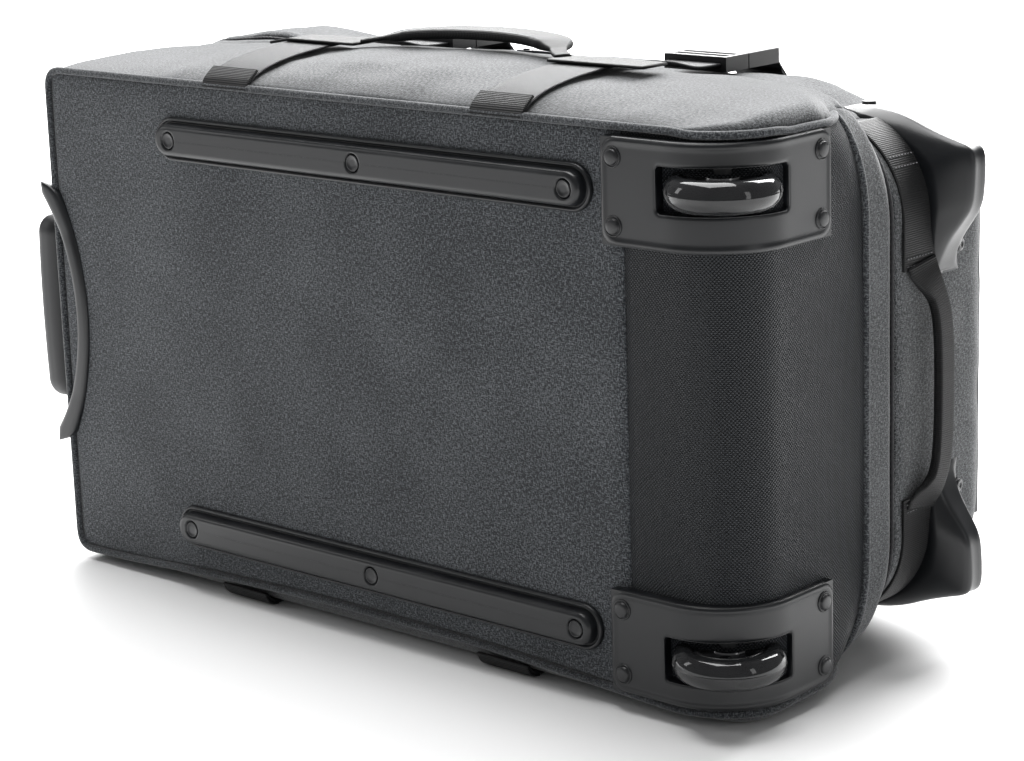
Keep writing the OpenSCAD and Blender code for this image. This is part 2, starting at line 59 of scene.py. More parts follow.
BAG_ORIGIN = np.array([back_low.x, back_low.y, side_low.z + 8 * MM])

LENGTH = 616.0
WIDTH = 355.0
DEPTH = 285.0
MID_Z = WIDTH / 2
FLOOR_Z = -8.0
WRAP_X = 532.0          # the back panel ends and the scuff wrap starts
STRIP_Y = 128.0         # the scuff wrap ends and the base strip starts
ZIP_Y = 157.0           # the back half ends at the divider zip
FRONT_HALF_Y = 162.0
CORNER_R = 42.0         # round of the scuff wrap between back and base
PLATE_R = 50.0          # round of the wheel plates, centred on (570, 43)
PLATE_CENTRE = (570.0, 43.0)
UPPER_STRAP_X = (189.0, 434.5)
LOWER_STRAP_X = (180.0, 424.0)
STRAP_W = 43.0


def place(points):
    """Bag millimetres to the frame's metres"""
    return np.asarray(points, float) * MM + BAG_ORIGIN


def spot(x, y, z):
    return Vector(place((x, y, z)))


def soft_curve(table, blur=6.0):
    """A smooth function through a table of (where, value), rounded over about blur mm"""
    xs, ys = np.array(table, float).T
    fine = np.arange(xs[0] - 40, xs[-1] + 41, 1.0)
    val = np.interp(fine, xs, ys)
    kernel = np.exp(-0.5 * (np.arange(-24, 25) / max(blur, 0.3)) ** 2)
    kernel /= kernel.sum()
    padded = np.concatenate([np.full(24, val[0]), val, np.full(24, val[-1])])
    smooth = np.convolve(padded, kernel, "valid")
    return lambda where: np.interp(where, fine, smooth)


def ripple(x, y, size, seed=0.0):
    """Even noise from -1 to 1 with folds about size mm apart"""
    x, y = np.broadcast_arrays(np.asarray(x, float), np.asarray(y, float))
    flat = [noise.noise((a / size, b / size, seed)) for a, b in zip(x.ravel(), y.ravel())]
    return np.array(flat).reshape(x.shape)


# ---------------------------------------------------------------- meshes
def add_object(name, data, body, materials):
    piece = bpy.data.objects.new(name, data)
    bpy.context.scene.collection.objects.link(piece)
    for mat in materials:
        data.materials.append(mat)
    if body:
        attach(piece, body)
    return piece


def grid_piece(name, points, body, materials, close_u=False, close_v=False,
               flip=False, caps=False):
    """A sheet of quads through a rows x columns array of bag points. Its UVs are real metres."""
    pts = np.asarray(points, float)
    rows, cols = pts.shape[:2]
    verts = place(pts.reshape(-1, 3))
    u_steps = np.linalg.norm(np.diff(np.concatenate([pts, pts[:, :1]], 1), axis=1), axis=2)
    v_steps = np.linalg.norm(np.diff(np.concatenate([pts, pts[:1]], 0), axis=0), axis=2)
    u_at = np.concatenate([[0], np.cumsum(u_steps.mean(0))]) * MM
    v_at = np.concatenate([[0], np.cumsum(v_steps.mean(1))]) * MM
    faces = []
    loops_uv = []
    last_row = rows if close_v else rows - 1
    last_col = cols if close_u else cols - 1
    for i in range(last_row):
        for j in range(last_col):
            a = (i, j)
            b = (i, j + 1)
            c = (i + 1, j + 1)
            d = (i + 1, j)
            ring = (a, d, c, b) if flip else (a, b, c, d)
            faces.append([(p % rows) * cols + (q % cols) for p, q in ring])
            loops_uv += [(u_at[q], v_at[p]) for p, q in ring]
    if caps:
        first = list(range(cols))
        last = [(rows - 1) * cols + q for q in range(cols)]
        faces.append(first if flip else first[::-1])
        faces.append(last[::-1] if flip else last)
        loops_uv += [(verts[k][0], verts[k][2]) for k in faces[-2]]
        loops_uv += [(verts[k][0], verts[k][2]) for k in faces[-1]]
    mesh = bpy.data.meshes.new(name)
    mesh.from_pydata([tuple(p) for p in verts], [], faces)
    layer = mesh.uv_layers.new(name="cloth_metres")
    layer.data.foreach_set("uv", np.array(loops_uv).ravel())
    mesh.polygons.foreach_set("use_smooth", [True] * len(mesh.polygons))
    mesh.update()
    return add_object(name, mesh, body, materials)


def thicken(piece, thick, offset=-1.0, inside=0):
    mod = piece.modifiers.new("cloth_thickness", "SOLIDIFY")
    mod.thickness = thick * MM
    mod.offset = offset
    mod.material_offset = inside
    mod.use_even_offset = False
    return piece


def resample(points, count, closed=False):
    """Points at even distances along a line of points"""
    pts = np.asarray(points, float)
    if closed:
        pts = np.concatenate([pts, pts[:1]])
    steps = np.concatenate([[0], np.cumsum(np.linalg.norm(np.diff(pts, axis=0), axis=1))])
    goal = np.linspace(0, steps[-1], count + 1)[:-1] if closed else np.linspace(0, steps[-1], count)
    return np.stack([np.interp(goal, steps, pts[:, k]) for k in range(pts.shape[1])], 1)


def smooth_line(points, count, passes=2):
    """A rounded line through the points (corners cut a few times, then evened out)"""
    pts = np.asarray(points, float)
    for _ in range(passes):
        cut = [pts[0]]
        for a, b in zip(pts[:-1], pts[1:]):
            cut += [a * 0.75 + b * 0.25, a * 0.25 + b * 0.75]
        cut.append(pts[-1])
        pts = np.array(cut)
    return resample(pts, count)


def frames_along(path, up, closed=False):
    path = np.asarray(path, float)
    if closed:
        tangent = np.roll(path, -1, 0) - np.roll(path, 1, 0)
    else:
        tangent = np.gradient(path, axis=0)
    tangent /= np.linalg.norm(tangent, axis=1)[:, None]
    up = np.broadcast_to(np.asarray(up, float), path.shape)
    side = np.cross(tangent, up)
    side /= np.linalg.norm(side, axis=1)[:, None]
    top = np.cross(side, tangent)
    return tangent, side, top


def swept_piece(name, path, section, up, body, materials, closed=False, sizes=None,
                caps=True, flip=False):
    """A closed section (side, top) carried along a path. sizes scales it at each point."""
    tangent, side, top = frames_along(path, up, closed)
    sec = np.asarray(section, float)
    scale = np.ones((len(path), 2)) if sizes is None else np.asarray(sizes, float)
    pts = (np.asarray(path, float)[:, None] + side[:, None] * (sec[None, :, :1] * scale[:, None, :1])
           + top[:, None] * (sec[None, :, 1:] * scale[:, None, 1:]))
    return grid_piece(name, pts, body, materials, close_u=True, close_v=closed,
                      caps=caps and not closed, flip=flip)


def circle(radius, count=16, squash=1.0):
    t = np.linspace(0, 2 * math.pi, count, endpoint=False)
    return np.stack([radius * np.cos(t), radius * squash * np.sin(t)], 1)


def rounded_rect(half_w, half_h, r, per_corner=6, per_side=2):
    """A rounded rectangle with the same number of points whatever its size"""
    r = min(r, half_w - 0.01, half_h - 0.01)
    pts = []
    for k, (cx, cy) in enumerate(((1, 1), (-1, 1), (-1, -1), (1, -1))):
        for n in range(per_corner + 1):
            a = math.pi / 2 * (k + n / per_corner)
            pts.append((cx * (half_w - r) + r * math.cos(a), cy * (half_h - r) + r * math.sin(a)))
        nxt = ((-1, 1), (-1, -1), (1, -1), (1, 1))[k]
        a = math.pi / 2 * (k + 1)
        end = (nxt[0] * (half_w - r) + r * math.cos(a), nxt[1] * (half_h - r) + r * math.sin(a))
        for n in range(1, per_side + 1):
            f = n / (per_side + 1)
            start = pts[len(pts) - n]
            pts.append((start[0] * (1 - f) + end[0] * f, start[1] * (1 - f) + end[1] * f))
    return np.array(pts)


def lathe_piece(name, profile, centre, axis, body, materials, count=48, flip=False):
    """A turned piece: profile is (radius, along) from one end to the other"""
    a = np.asarray(axis, float)
    ref = np.array([0, 0, 1.0]) if abs(a[2]) < 0.9 else np.array([1.0, 0, 0])
    s = np.cross(a, ref)
    s /= np.linalg.norm(s)
    t = np.cross(a, s)
    ang = np.linspace(0, 2 * math.pi, count, endpoint=False)
    ring = np.cos(ang)[:, None] * s + np.sin(ang)[:, None] * t
    pts = np.array([np.asarray(centre, float) + a * h + ring * max(r, 0.02) for r, h in profile])
    return grid_piece(name, pts, body, materials, close_u=True, flip=flip)

# ---------------------------------------------------------------- finishes
def new_group(name, inputs, outputs):
    group = bpy.data.node_groups.new(name, "ShaderNodeTree")
    for label, kind, value in inputs:
        sock = group.interface.new_socket(label, in_out="INPUT", socket_type=kind)
        sock.default_value = value
    for label, kind in outputs:
        group.interface.new_socket(label, in_out="OUTPUT", socket_type=kind)
    return group, group.nodes.new("NodeGroupInput"), group.nodes.new("NodeGroupOutput")


def maths(tree, operation, a, b=None, c=None):
    node = tree.nodes.new("ShaderNodeMath")
    node.operation = operation
    for k, value in enumerate((a, b, c)):
        if value is None:
            continue
        if isinstance(value, (int, float)):
            node.inputs[k].default_value = value
        else:
            tree.links.new(value, node.inputs[k])
    return node.outputs[0]


def blend_colour(tree, factor, first, second):
    node = tree.nodes.new("ShaderNodeMix")
    node.data_type = "RGBA"
    for sock, value in ((node.inputs[0], factor), (node.inputs[6], first), (node.inputs[7], second)):
        if isinstance(value, bpy.types.NodeSocket):
            tree.links.new(value, sock)
        else:
            sock.default_value = value if isinstance(value, float) else (*value, 1.0)
    return node.outputs[2]


def noise_at(tree, vector, scale, detail=2.0, stretch=(1, 1, 1)):
    mapping = tree.nodes.new("ShaderNodeMapping")
    mapping.inputs["Scale"].default_value = stretch
    tree.links.new(vector, mapping.inputs["Vector"])
    node = tree.nodes.new("ShaderNodeTexNoise")
    node.inputs["Scale"].default_value = scale
    node.inputs["Detail"].default_value = detail
    tree.links.new(mapping.outputs[0], node.inputs["Vector"])
    return node.outputs["Fac"]


def spread(tree, value, low, high):
    node = tree.nodes.new("ShaderNodeMapRange")
    node.inputs["From Min"].default_value = low
    node.inputs["From Max"].default_value = high
    tree.links.new(value, node.inputs["Value"])
    return node.outputs["Result"]


def melange_group():
    """Two-tone yarns, warp and weft, each thread a little lighter or darker than the next"""
    g, gin, gout = new_group("melange_weave", [
        ("Position", "NodeSocketVector", (0, 0, 0)), ("Dark yarn", "NodeSocketColor", (0.02, 0.02, 0.02, 1)),
        ("Light yarn", "NodeSocketColor", (0.2, 0.2, 0.2, 1)), ("Light share", "NodeSocketFloat", 0.5)],
        [("Colour", "NodeSocketColor"), ("Height", "NodeSocketFloat")])
    pos = gin.outputs["Position"]
    warp = noise_at(g, pos, 1.0, 1.5, (1250, 400, 800))
    weft = noise_at(g, pos, 1.0, 1.5, (400, 1250, 800))
    fleck = noise_at(g, pos, 750.0, 1.0)
    broad = noise_at(g, pos, 14.0, 3.0)
    sep = g.nodes.new("ShaderNodeSeparateXYZ")
    g.links.new(pos, sep.inputs[0])
    warp_rib = maths(g, "ABSOLUTE", maths(g, "SINE", maths(g, "MULTIPLY", sep.outputs[0], math.pi / 0.0007)))
    weft_rib = maths(g, "ABSOLUTE", maths(g, "SINE", maths(g, "MULTIPLY", sep.outputs[1], math.pi / 0.0007)))
    top_thread = maths(g, "GREATER_THAN", warp_rib, weft_rib)
    yarn = g.nodes.new("ShaderNodeMix")
    g.links.new(top_thread, yarn.inputs[0])
    g.links.new(weft, yarn.inputs[2])
    g.links.new(warp, yarn.inputs[3])
    mixed = maths(g, "ADD", maths(g, "MULTIPLY", yarn.outputs[0], 0.82), maths(g, "MULTIPLY", fleck, 0.18))
    shifted = maths(g, "ADD", mixed, maths(g, "SUBTRACT", gin.outputs["Light share"], 0.5))
    shifted = maths(g, "ADD", shifted, maths(g, "MULTIPLY", maths(g, "SUBTRACT", broad, 0.5), 0.10))
    light = spread(g, shifted, 0.44, 0.60)
    g.links.new(blend_colour(g, light, gin.outputs["Dark yarn"], gin.outputs["Light yarn"]),
                gout.inputs["Colour"])
    height = maths(g, "ADD", maths(g, "MAXIMUM", warp_rib, weft_rib), maths(g, "MULTIPLY", mixed, 0.9))
    g.links.new(height, gout.inputs["Height"])
    return g


def ballistic_group():
    """Heavy nylon basket weave laid on the diagonal"""
    g, gin, gout = new_group("ballistic_weave", [
        ("Position", "NodeSocketVector", (0, 0, 0)), ("Pitch", "NodeSocketFloat", 0.0016)],
        [("Thread", "NodeSocketFloat"), ("Height", "NodeSocketFloat")])
    sep = g.nodes.new("ShaderNodeSeparateXYZ")
    g.links.new(gin.outputs["Position"], sep.inputs[0])
    along = maths(g, "MULTIPLY", maths(g, "DIVIDE", maths(g, "ADD", sep.outputs[0], sep.outputs[1]),
                                       gin.outputs["Pitch"]), math.pi)
    across = maths(g, "MULTIPLY", maths(g, "DIVIDE", maths(g, "SUBTRACT", sep.outputs[0], sep.outputs[1]),
                                        gin.outputs["Pitch"]), math.pi)
    a = maths(g, "ABSOLUTE", maths(g, "SINE", along))
    b = maths(g, "ABSOLUTE", maths(g, "SINE", across))
    bump = maths(g, "POWER", maths(g, "MULTIPLY", a, b), 0.7)
    fuzz = noise_at(g, gin.outputs["Position"], 2500.0, 1.0)
    g.links.new(maths(g, "MULTIPLY", bump, maths(g, "ADD", 0.6, maths(g, "MULTIPLY", fuzz, 0.8))),
                gout.inputs["Thread"])
    g.links.new(bump, gout.inputs["Height"])
    return g


def webbing_group():
    """Ribbed nylon tape: ribs across its width, finer yarns along it"""
    g, gin, gout = new_group("webbing_ribs", [
        ("Position", "NodeSocketVector", (0, 0, 0)), ("Rib pitch", "NodeSocketFloat", 0.0016)],
        [("Thread", "NodeSocketFloat"), ("Height", "NodeSocketFloat")])
    sep = g.nodes.new("ShaderNodeSeparateXYZ")
    g.links.new(gin.outputs["Position"], sep.inputs[0])
    rib = maths(g, "ABSOLUTE", maths(g, "SINE",
                                     maths(g, "MULTIPLY",
                                           maths(g, "DIVIDE", sep.outputs[1],
                                                 gin.outputs["Rib pitch"]), math.pi)))
    fine = maths(g, "ABSOLUTE", maths(g, "SINE", maths(g, "MULTIPLY", sep.outputs[0], math.pi / 0.0011)))
    fuzz = noise_at(g, gin.outputs["Position"], 1400.0, 2.0)
    height = maths(g, "ADD", maths(g, "POWER", rib, 0.6), maths(g, "MULTIPLY", fine, 0.35))
    g.links.new(height, gout.inputs["Height"])
    g.links.new(maths(g, "MULTIPLY", rib, maths(g, "ADD", 0.5, maths(g, "MULTIPLY", fuzz, 0.9))),
                gout.inputs["Thread"])
    return g


def grain_group():
    """Fine spark-eroded grain of moulded nylon, with faint handling wear"""
    g, gin, gout = new_group("moulded_grain", [
        ("Position", "NodeSocketVector", (0, 0, 0)), ("Grain size", "NodeSocketFloat", 0.0005)],
        [("Height", "NodeSocketFloat"), ("Wear", "NodeSocketFloat")])
    scale = maths(g, "DIVIDE", 1.0, gin.outputs["Grain size"])
    tex = g.nodes.new("ShaderNodeTexNoise")
    tex.inputs["Detail"].default_value = 2.0
    g.links.new(gin.outputs["Position"], tex.inputs["Vector"])
    g.links.new(scale, tex.inputs["Scale"])
    rub = noise_at(g, gin.outputs["Position"], 28.0, 4.0)
    g.links.new(tex.outputs["Fac"], gout.inputs["Height"])
    g.links.new(spread(g, rub, 0.42, 0.72), gout.inputs["Wear"])
    return g


MELANGE = melange_group()
BALLISTIC = ballistic_group()
WEBBING = webbing_group()
GRAIN = grain_group()


def new_material(name):
    mat = bpy.data.materials.new(name)
    mat.use_nodes = True
    tree = mat.node_tree
    coords = tree.nodes.new("ShaderNodeTexCoord")
    return mat, tree, tree.nodes["Principled BSDF"], coords


def use_group(tree, group, position, **values):
    node = tree.nodes.new("ShaderNodeGroup")
    node.node_tree = group
    tree.links.new(position, node.inputs["Position"])
    for label, value in values.items():
        node.inputs[label.replace("_", " ")].default_value = value
    return node


def bump_from(tree, shader, height, strength, distance):
    node = tree.nodes.new("ShaderNodeBump")
    node.inputs["Strength"].default_value = strength
    node.inputs["Distance"].default_value = distance * MM
    tree.links.new(height, node.inputs["Height"])
    tree.links.new(node.outputs[0], shader.inputs["Normal"])


def melange_cloth(name, dark, light, share, by_uv=True):
    mat, tree, shader, coords = new_material(name)
    weave = use_group(tree, MELANGE, coords.outputs["UV" if by_uv else "Object"], Dark_yarn=(*dark, 1),
                      Light_yarn=(*light, 1), Light_share=share)
    tree.links.new(weave.outputs["Colour"], shader.inputs["Base Color"])
    shader.inputs["Roughness"].default_value = 0.86
    shader.inputs["Specular IOR Level"].default_value = 0.25
    shader.inputs["Sheen Weight"].default_value = 0.35
    shader.inputs["Sheen Roughness"].default_value = 0.45
    bump_from(tree, shader, weave.outputs["Height"], 0.35, 0.16)
    return mat


def woven_black(name, group, low, high, rough, bump, sheen, by_uv=True, **values):
    mat, tree, shader, coords = new_material(name)
    weave = use_group(tree, group, coords.outputs["UV" if by_uv else "Object"], **values)
    tree.links.new(blend_colour(tree, weave.outputs["Thread"], low, high), shader.inputs["Base Color"])
    shader.inputs["Roughness"].default_value = rough
    shader.inputs["Specular IOR Level"].default_value = 0.3
    shader.inputs["Sheen Weight"].default_value = sheen
    shader.inputs["Sheen Roughness"].default_value = 0.4
    bump_from(tree, shader, weave.outputs["Height"], 0.8, bump)
    return mat


def moulded(name, colour, worn, rough, grain=0.0005, bump=0.06, coat=0.0):
    mat, tree, shader, coords = new_material(name)
    skin = use_group(tree, GRAIN, coords.outputs["Object"], Grain_size=grain)
    tree.links.new(blend_colour(tree, skin.outputs["Wear"], colour, worn), shader.inputs["Base Color"])
    tree.links.new(maths(tree, "ADD", maths(tree, "MULTIPLY", skin.outputs["Wear"], 0.09), rough - 0.04),
                   shader.inputs["Roughness"])
    shader.inputs["Coat Weight"].default_value = coat
    shader.inputs["Coat Roughness"].default_value = 0.25
    bump_from(tree, shader, skin.outputs["Height"], 0.5, bump)
    return mat


def metal(name, colour, rough, brushed=(1, 1, 1)):
    mat, tree, shader, coords = new_material(name)
    streak = noise_at(tree, coords.outputs["Object"], 700.0, 3.0, brushed)
    tree.links.new(blend_colour(tree, streak, tuple(c * 0.82 for c in colour), colour),
                   shader.inputs["Base Color"])
    tree.links.new(maths(tree, "ADD", maths(tree, "MULTIPLY", streak, 0.16), rough - 0.08),
                   shader.inputs["Roughness"])
    shader.inputs["Metallic"].default_value = 1.0
    bump_from(tree, shader, streak, 0.25, 0.02)
    return mat


def clear_tyre(name):
    mat, tree, shader, coords = new_material(name)
    cloud = noise_at(tree, coords.outputs["Object"], 60.0, 3.0)
    tree.links.new(blend_colour(tree, cloud, (0.012, 0.0125, 0.0135), (0.03, 0.031, 0.033)),
                   shader.inputs["Base Color"])
    tree.links.new(maths(tree, "ADD", maths(tree, "MULTIPLY", cloud, 0.06), 0.02), shader.inputs["Roughness"])
    shader.inputs["IOR"].default_value = 1.5
    shader.inputs["Metallic"].default_value = 0.0
    shader.inputs["Transmission Weight"].default_value = 0.35
    bump_from(tree, shader, cloud, 0.1, 0.05)
    return mat


BACK_CLOTH = melange_cloth("back_cloth", (0.010, 0.012, 0.015), (0.150, 0.160, 0.172), 0.47)
SIDE_CLOTH = melange_cloth("side_cloth", (0.014, 0.0155, 0.017), (0.150, 0.156, 0.163), 0.485)
PIPING_CLOTH = melange_cloth("piping_cloth", (0.012, 0.014, 0.017), (0.135, 0.142, 0.15), 0.47)
LINING_CLOTH = woven_black("lining_cloth", BALLISTIC, (0.03, 0.031, 0.034), (0.075, 0.077, 0.082), 0.7,
                           0.05, 0.1,
                           Pitch=0.0008)
LINING_SOLID = woven_black("lining_on_panels", BALLISTIC, (0.03, 0.031, 0.034), (0.075, 0.077, 0.082), 0.7,
                           0.05,
                           0.1, by_uv=False, Pitch=0.0008)
SCUFF_CLOTH = woven_black("scuff_cloth_finish", BALLISTIC, (0.0006, 0.0007, 0.0009), (0.040, 0.044, 0.050),
                          0.38, 1.6,
                          0.0, Pitch=0.0024)
TAPE = woven_black("webbing_finish", WEBBING, (0.0015, 0.0015, 0.002), (0.024, 0.025, 0.028), 0.58, 0.35,
                   0.05,
                   Rib_pitch=0.0012)
TAPE_FOLD = woven_black("webbing_fold_finish", WEBBING, (0.0004, 0.0004, 0.0005), (0.0045, 0.0048, 0.0055),
                        0.55, 0.35, 0.01,
                        Rib_pitch=0.0014)
ZIP_CLOTH = woven_black("zip_tape_finish", WEBBING, (0.005, 0.005, 0.006), (0.03, 0.03, 0.033), 0.75, 0.2,
                        0.15,
                        Rib_pitch=0.0007)
NYLON = moulded("moulded_nylon", (0.0055, 0.0063, 0.0078), (0.0085, 0.0096, 0.0115), 0.34)
RIVET_NYLON = moulded("rivet_nylon", (0.010, 0.0105, 0.012), (0.016, 0.017, 0.019), 0.36, bump=0.03)
GRIP_RUBBER = moulded("grip_rubber_finish", (0.012, 0.0125, 0.014), (0.02, 0.021, 0.023), 0.5, grain=0.0008)
BUCKLE_NYLON = moulded("buckle_nylon", (0.006, 0.006, 0.007), (0.011, 0.011, 0.012), 0.38, bump=0.04)
HUB_NYLON = moulded("hub_nylon", (0.008, 0.008, 0.009), (0.015, 0.015, 0.016), 0.3, bump=0.02, coat=0.3)
BOARD = moulded("board_finish", (0.05, 0.05, 0.052), (0.08, 0.08, 0.083), 0.6, grain=0.002)
ALUMINIUM = metal("tube_finish", (0.62, 0.63, 0.65), 0.32, (1, 40, 40))
BRIGHT_STEEL = metal("steel_finish", (0.72, 0.72, 0.73), 0.22)
DARK_METAL = metal("zip_metal_finish", (0.05, 0.05, 0.055), 0.3)
CLEAR_TYRE = clear_tyre("tyre_finish")

# ---------------------------------------------------------------- outline of the case
# How far the upper side stands out of the back panel's edge line, from back to front, and how much
# of that is left towards the handle end and the base
bulge_by_depth = soft_curve([(0, 1.5), (5, 5), (14, 10), (24, 13), (33, 16), (42, 18.5), (54, 20), (70, 21.5),
                             (95, 22), (125, 18.5), (150, 13), (157, 9.5), (168, 4.5), (200, 3.5), (240, 1),
                             (260, -6), (274, -20), (285, -42)], 4)
bulge_by_length = soft_curve([(0, 0.22), (50, 0.38), (100, 0.56), (150, 0.78), (190, 0.84), (250, 0.94),
                              (320, 1.0), (390, 0.97), (440, 0.9), (520, 0.68), (580, 0.5), (616, 0.45)], 14)
sag_by_depth = soft_curve([(0, 1), (3, -1.0), (8, -4.5), (18, -7.2), (40, -8), (240, -8), (252, -5), (264, 3),
                           (276, 18), (285, 42)], 4)
front_drop = soft_curve([(0, 3), (40, 0), (470, 0), (500, -2), (544, -17), (566, -18), (616, -18)], 9)
front_lift = soft_curve([(0, 4), (40, 0), (480, 0), (500, 2), (544, 22), (560, 25), (616, 26)], 9)
back_edge_low = soft_curve([(0, 0), (60, 1.5), (150, 6.5), (270, 9.6), (400, 8.5), (500, 4), (566, 0.5),
                            (616, 0)], 16)
corner_size_x = soft_curve([(0, 11), (85, 13), (110, 36), (128, 66), (157, 72), (165, 56), (285, 60)], 5)
corner_size_z = soft_curve([(0, 11), (85, 14), (110, 48), (128, 90), (157, 84), (165, 60), (285, 62)], 5)
corner_power = soft_curve([(0, 2.0), (85, 2.0), (128, 2.5), (157, 2.4), (165, 2.0), (285, 2.0)], 5)
handle_bow = soft_curve([(0, 0), (20, 1.2), (60, 3.2), (140, 4.2), (230, 3), (262, 0), (276, -8),
                         (285, -20)], 6)


def base_at(y):
    """The base's X at depth y, with the round between back and base"""
    y = np.asarray(y, float)
    inside = np.clip((CORNER_R - y) / CORNER_R, 0, 1)
    round_x = LENGTH - CORNER_R + CORNER_R * np.sqrt(1 - inside ** 2)
    front = np.clip((y - 245) / 40.5, 0, 1)
    return round_x - 40 * (1 - np.sqrt(1 - front ** 2))


def top_at(x, y):
    b = bulge_by_depth(y)
    rise = np.where(b > 0, b * bulge_by_length(x), b)
    front = np.clip((y - 150) / 16, 0, 1)
    puff = 11 * front * np.exp(-((x - 62) / 48) ** 2) * np.clip((262 - y) / 40, 0, 1)
    return WIDTH + rise + front * front_drop(x) + puff


def low_at(x, y):
    lift = np.clip((y - 150) / 16, 0, 1) * front_lift(x)
    near_back = np.clip(1 - y / 9.0, 0, 1)
    return sag_by_depth(y) + lift + back_edge_low(x) * near_back


def half_outline(y, high=True):
    """Dense (x, z) points at depth y from the handle end's middle over one side to the base's middle"""
    base_x = float(base_at(y))
    rx, rz, power = float(corner_size_x(y)), float(corner_size_z(y)), float(corner_power(y))
    bow = float(handle_bow(y))
    sign = 1 if high else -1
    edge = top_at if high else low_at
    r_handle = 9.0 if y < 250 else 22.0
    xs = np.arange(-bow + r_handle, base_x - rx, 3.0)
    end_z = float(edge(np.array(base_x - rx), y))
    first_z = float(edge(np.array(xs[0]), y))
    points = []
    for z in np.linspace(MID_Z, first_z - sign * r_handle, 40):
        f = abs(z - MID_Z) / abs(first_z - sign * r_handle - MID_Z)
        points.append((-bow * (1 - f ** 3), z))
    left = points[-1][0]
    for a in np.linspace(0, math.pi / 2, 9)[1:]:
        points.append((left + r_handle * (1 - math.cos(a)), first_z - sign * r_handle * (1 - math.sin(a))))
    points += [(x, float(edge(np.array(x), y))) for x in xs[1:]]
    for a in np.linspace(0, math.pi / 2, 22):
        c, s = math.cos(a) ** (2 / power), math.sin(a) ** (2 / power)
        drop_z = float(edge(np.array(base_x - rx + rx * s), y)) - end_z
        points.append((base_x - rx + rx * s, end_z + drop_z * c - sign * rz * (1 - c)))
    last = points[-1]
    points += [(base_x, z) for z in np.linspace(last[1], MID_Z, 40)[1:]]
    return np.array(points)


def push(points, amount):
    """Moves a sheet of bag points along its own outward normals"""
    du = np.gradient(points, axis=1)
    dv = np.gradient(points, axis=0)
    n = np.cross(du, dv)
    n /= np.maximum(np.linalg.norm(n, axis=2), 1e-6)[:, :, None]
    centre = np.array([LENGTH / 2, DEPTH / 2, MID_Z])
    if np.sum(n * (points - centre)) < 0:
        n = -n
    return points + n * np.asarray(amount)[:, :, None]


def tuck(points, width=5.0, depth=1.6, sides="abcd"):
    """Draws a panel's edges in towards its seams; a, b are its first and last rows, c, d its columns"""
    rows, cols = points.shape[:2]
    v = np.concatenate([[0], np.cumsum(np.linalg.norm(np.diff(points, axis=0), axis=2).mean(1))])
    u = np.concatenate([[0], np.cumsum(np.linalg.norm(np.diff(points, axis=1), axis=2).mean(0))])
    pull = np.zeros((rows, cols))
    for side, dist in (("a", v[:, None]), ("b", v[-1] - v[:, None]), ("c", u[None]), ("d", u[-1] - u[None])):
        if side in sides:
            pull = np.maximum(pull, np.exp(-(np.broadcast_to(dist, pull.shape) / width) ** 2))
    return push(points, -depth * pull)

# ---------------------------------------------------------------- case
HANDLE_CORNER = 44      # the outline's point in the middle of the handle end's rounded corner


def at_edge(high):
    return (lambda p: p[0] > 500 and p[1] <= WIDTH - 2) if high else (lambda p: p[0] > 500 and p[1] >= 2)


def strip_rows(depths, high, first, last, count):
    """Rows of an evenly spaced stretch of the outline, between the handle corner or the middle of an
    end and a mark on the base side"""
    rows = []
    for y in depths:
        pts = half_outline(y, high)
        mark = next((k for k, p in enumerate(pts) if k > 60 and last_mark(p, y, high)), len(pts) - 1)
        spans = {"handle": (0, HANDLE_CORNER), "side": (HANDLE_CORNER, mark), "base": (mark, len(pts) - 1)}
        i, j = spans[first][0], spans[last][1]
        line = resample(pts[i:j + 1], count)
        rows.append(np.stack([line[:, 0], np.full(count, float(y)), line[:, 1]], 1))
    return np.array(rows)


def last_mark(p, y, high):
    if y > 160:
        return p[0] >= 566
    return at_edge(high)(p)


def both_halves(depths, part, count):
    upper = strip_rows(depths, True, part, part, count)
    lower = strip_rows(depths, False, part, part, count)
    if part == "handle":
        return np.concatenate([lower[:, ::-1], upper[:, 1:]], 1)
    return np.concatenate([upper, lower[:, ::-1][:, 1:]], 1)


def wrinkled(points, height, size, seed, axes=(0, 1)):
    wave = ripple(points[:, :, axes[0]], points[:, :, axes[1]] * 1.6, size, seed)
    fine = ripple(points[:, :, axes[0]], points[:, :, axes[1]], size * 0.37, seed + 7)
    return push(points, height * (wave + 0.35 * fine))


BACK_DEPTHS = np.concatenate([[0.4, 2, 4, 7, 11, 16], np.linspace(22, 150, 44), [152.5, 155, ZIP_Y]])
FRONT_DEPTHS = np.concatenate([[FRONT_HALF_Y, 164, 166.5, 170], np.linspace(174, 279, 44)])


def strap_press(points, strap_x, depth):
    """Shallow valleys where the compression straps hold the cloth down"""
    near = sum(np.exp(-((points[:, :, 0] - x) / 30) ** 2) for x in strap_x)
    inner = np.clip((points[:, :, 1] - 25) / 40, 0, 1)
    return push(points, -depth * near * inner)


def faces_in(points):
    """True when a sheet's own normals point into the case"""
    n = np.cross(np.gradient(points, axis=1), np.gradient(points, axis=0))
    return bool(np.sum(n * (points - np.array([LENGTH / 2, DEPTH / 2, MID_Z]))) < 0)


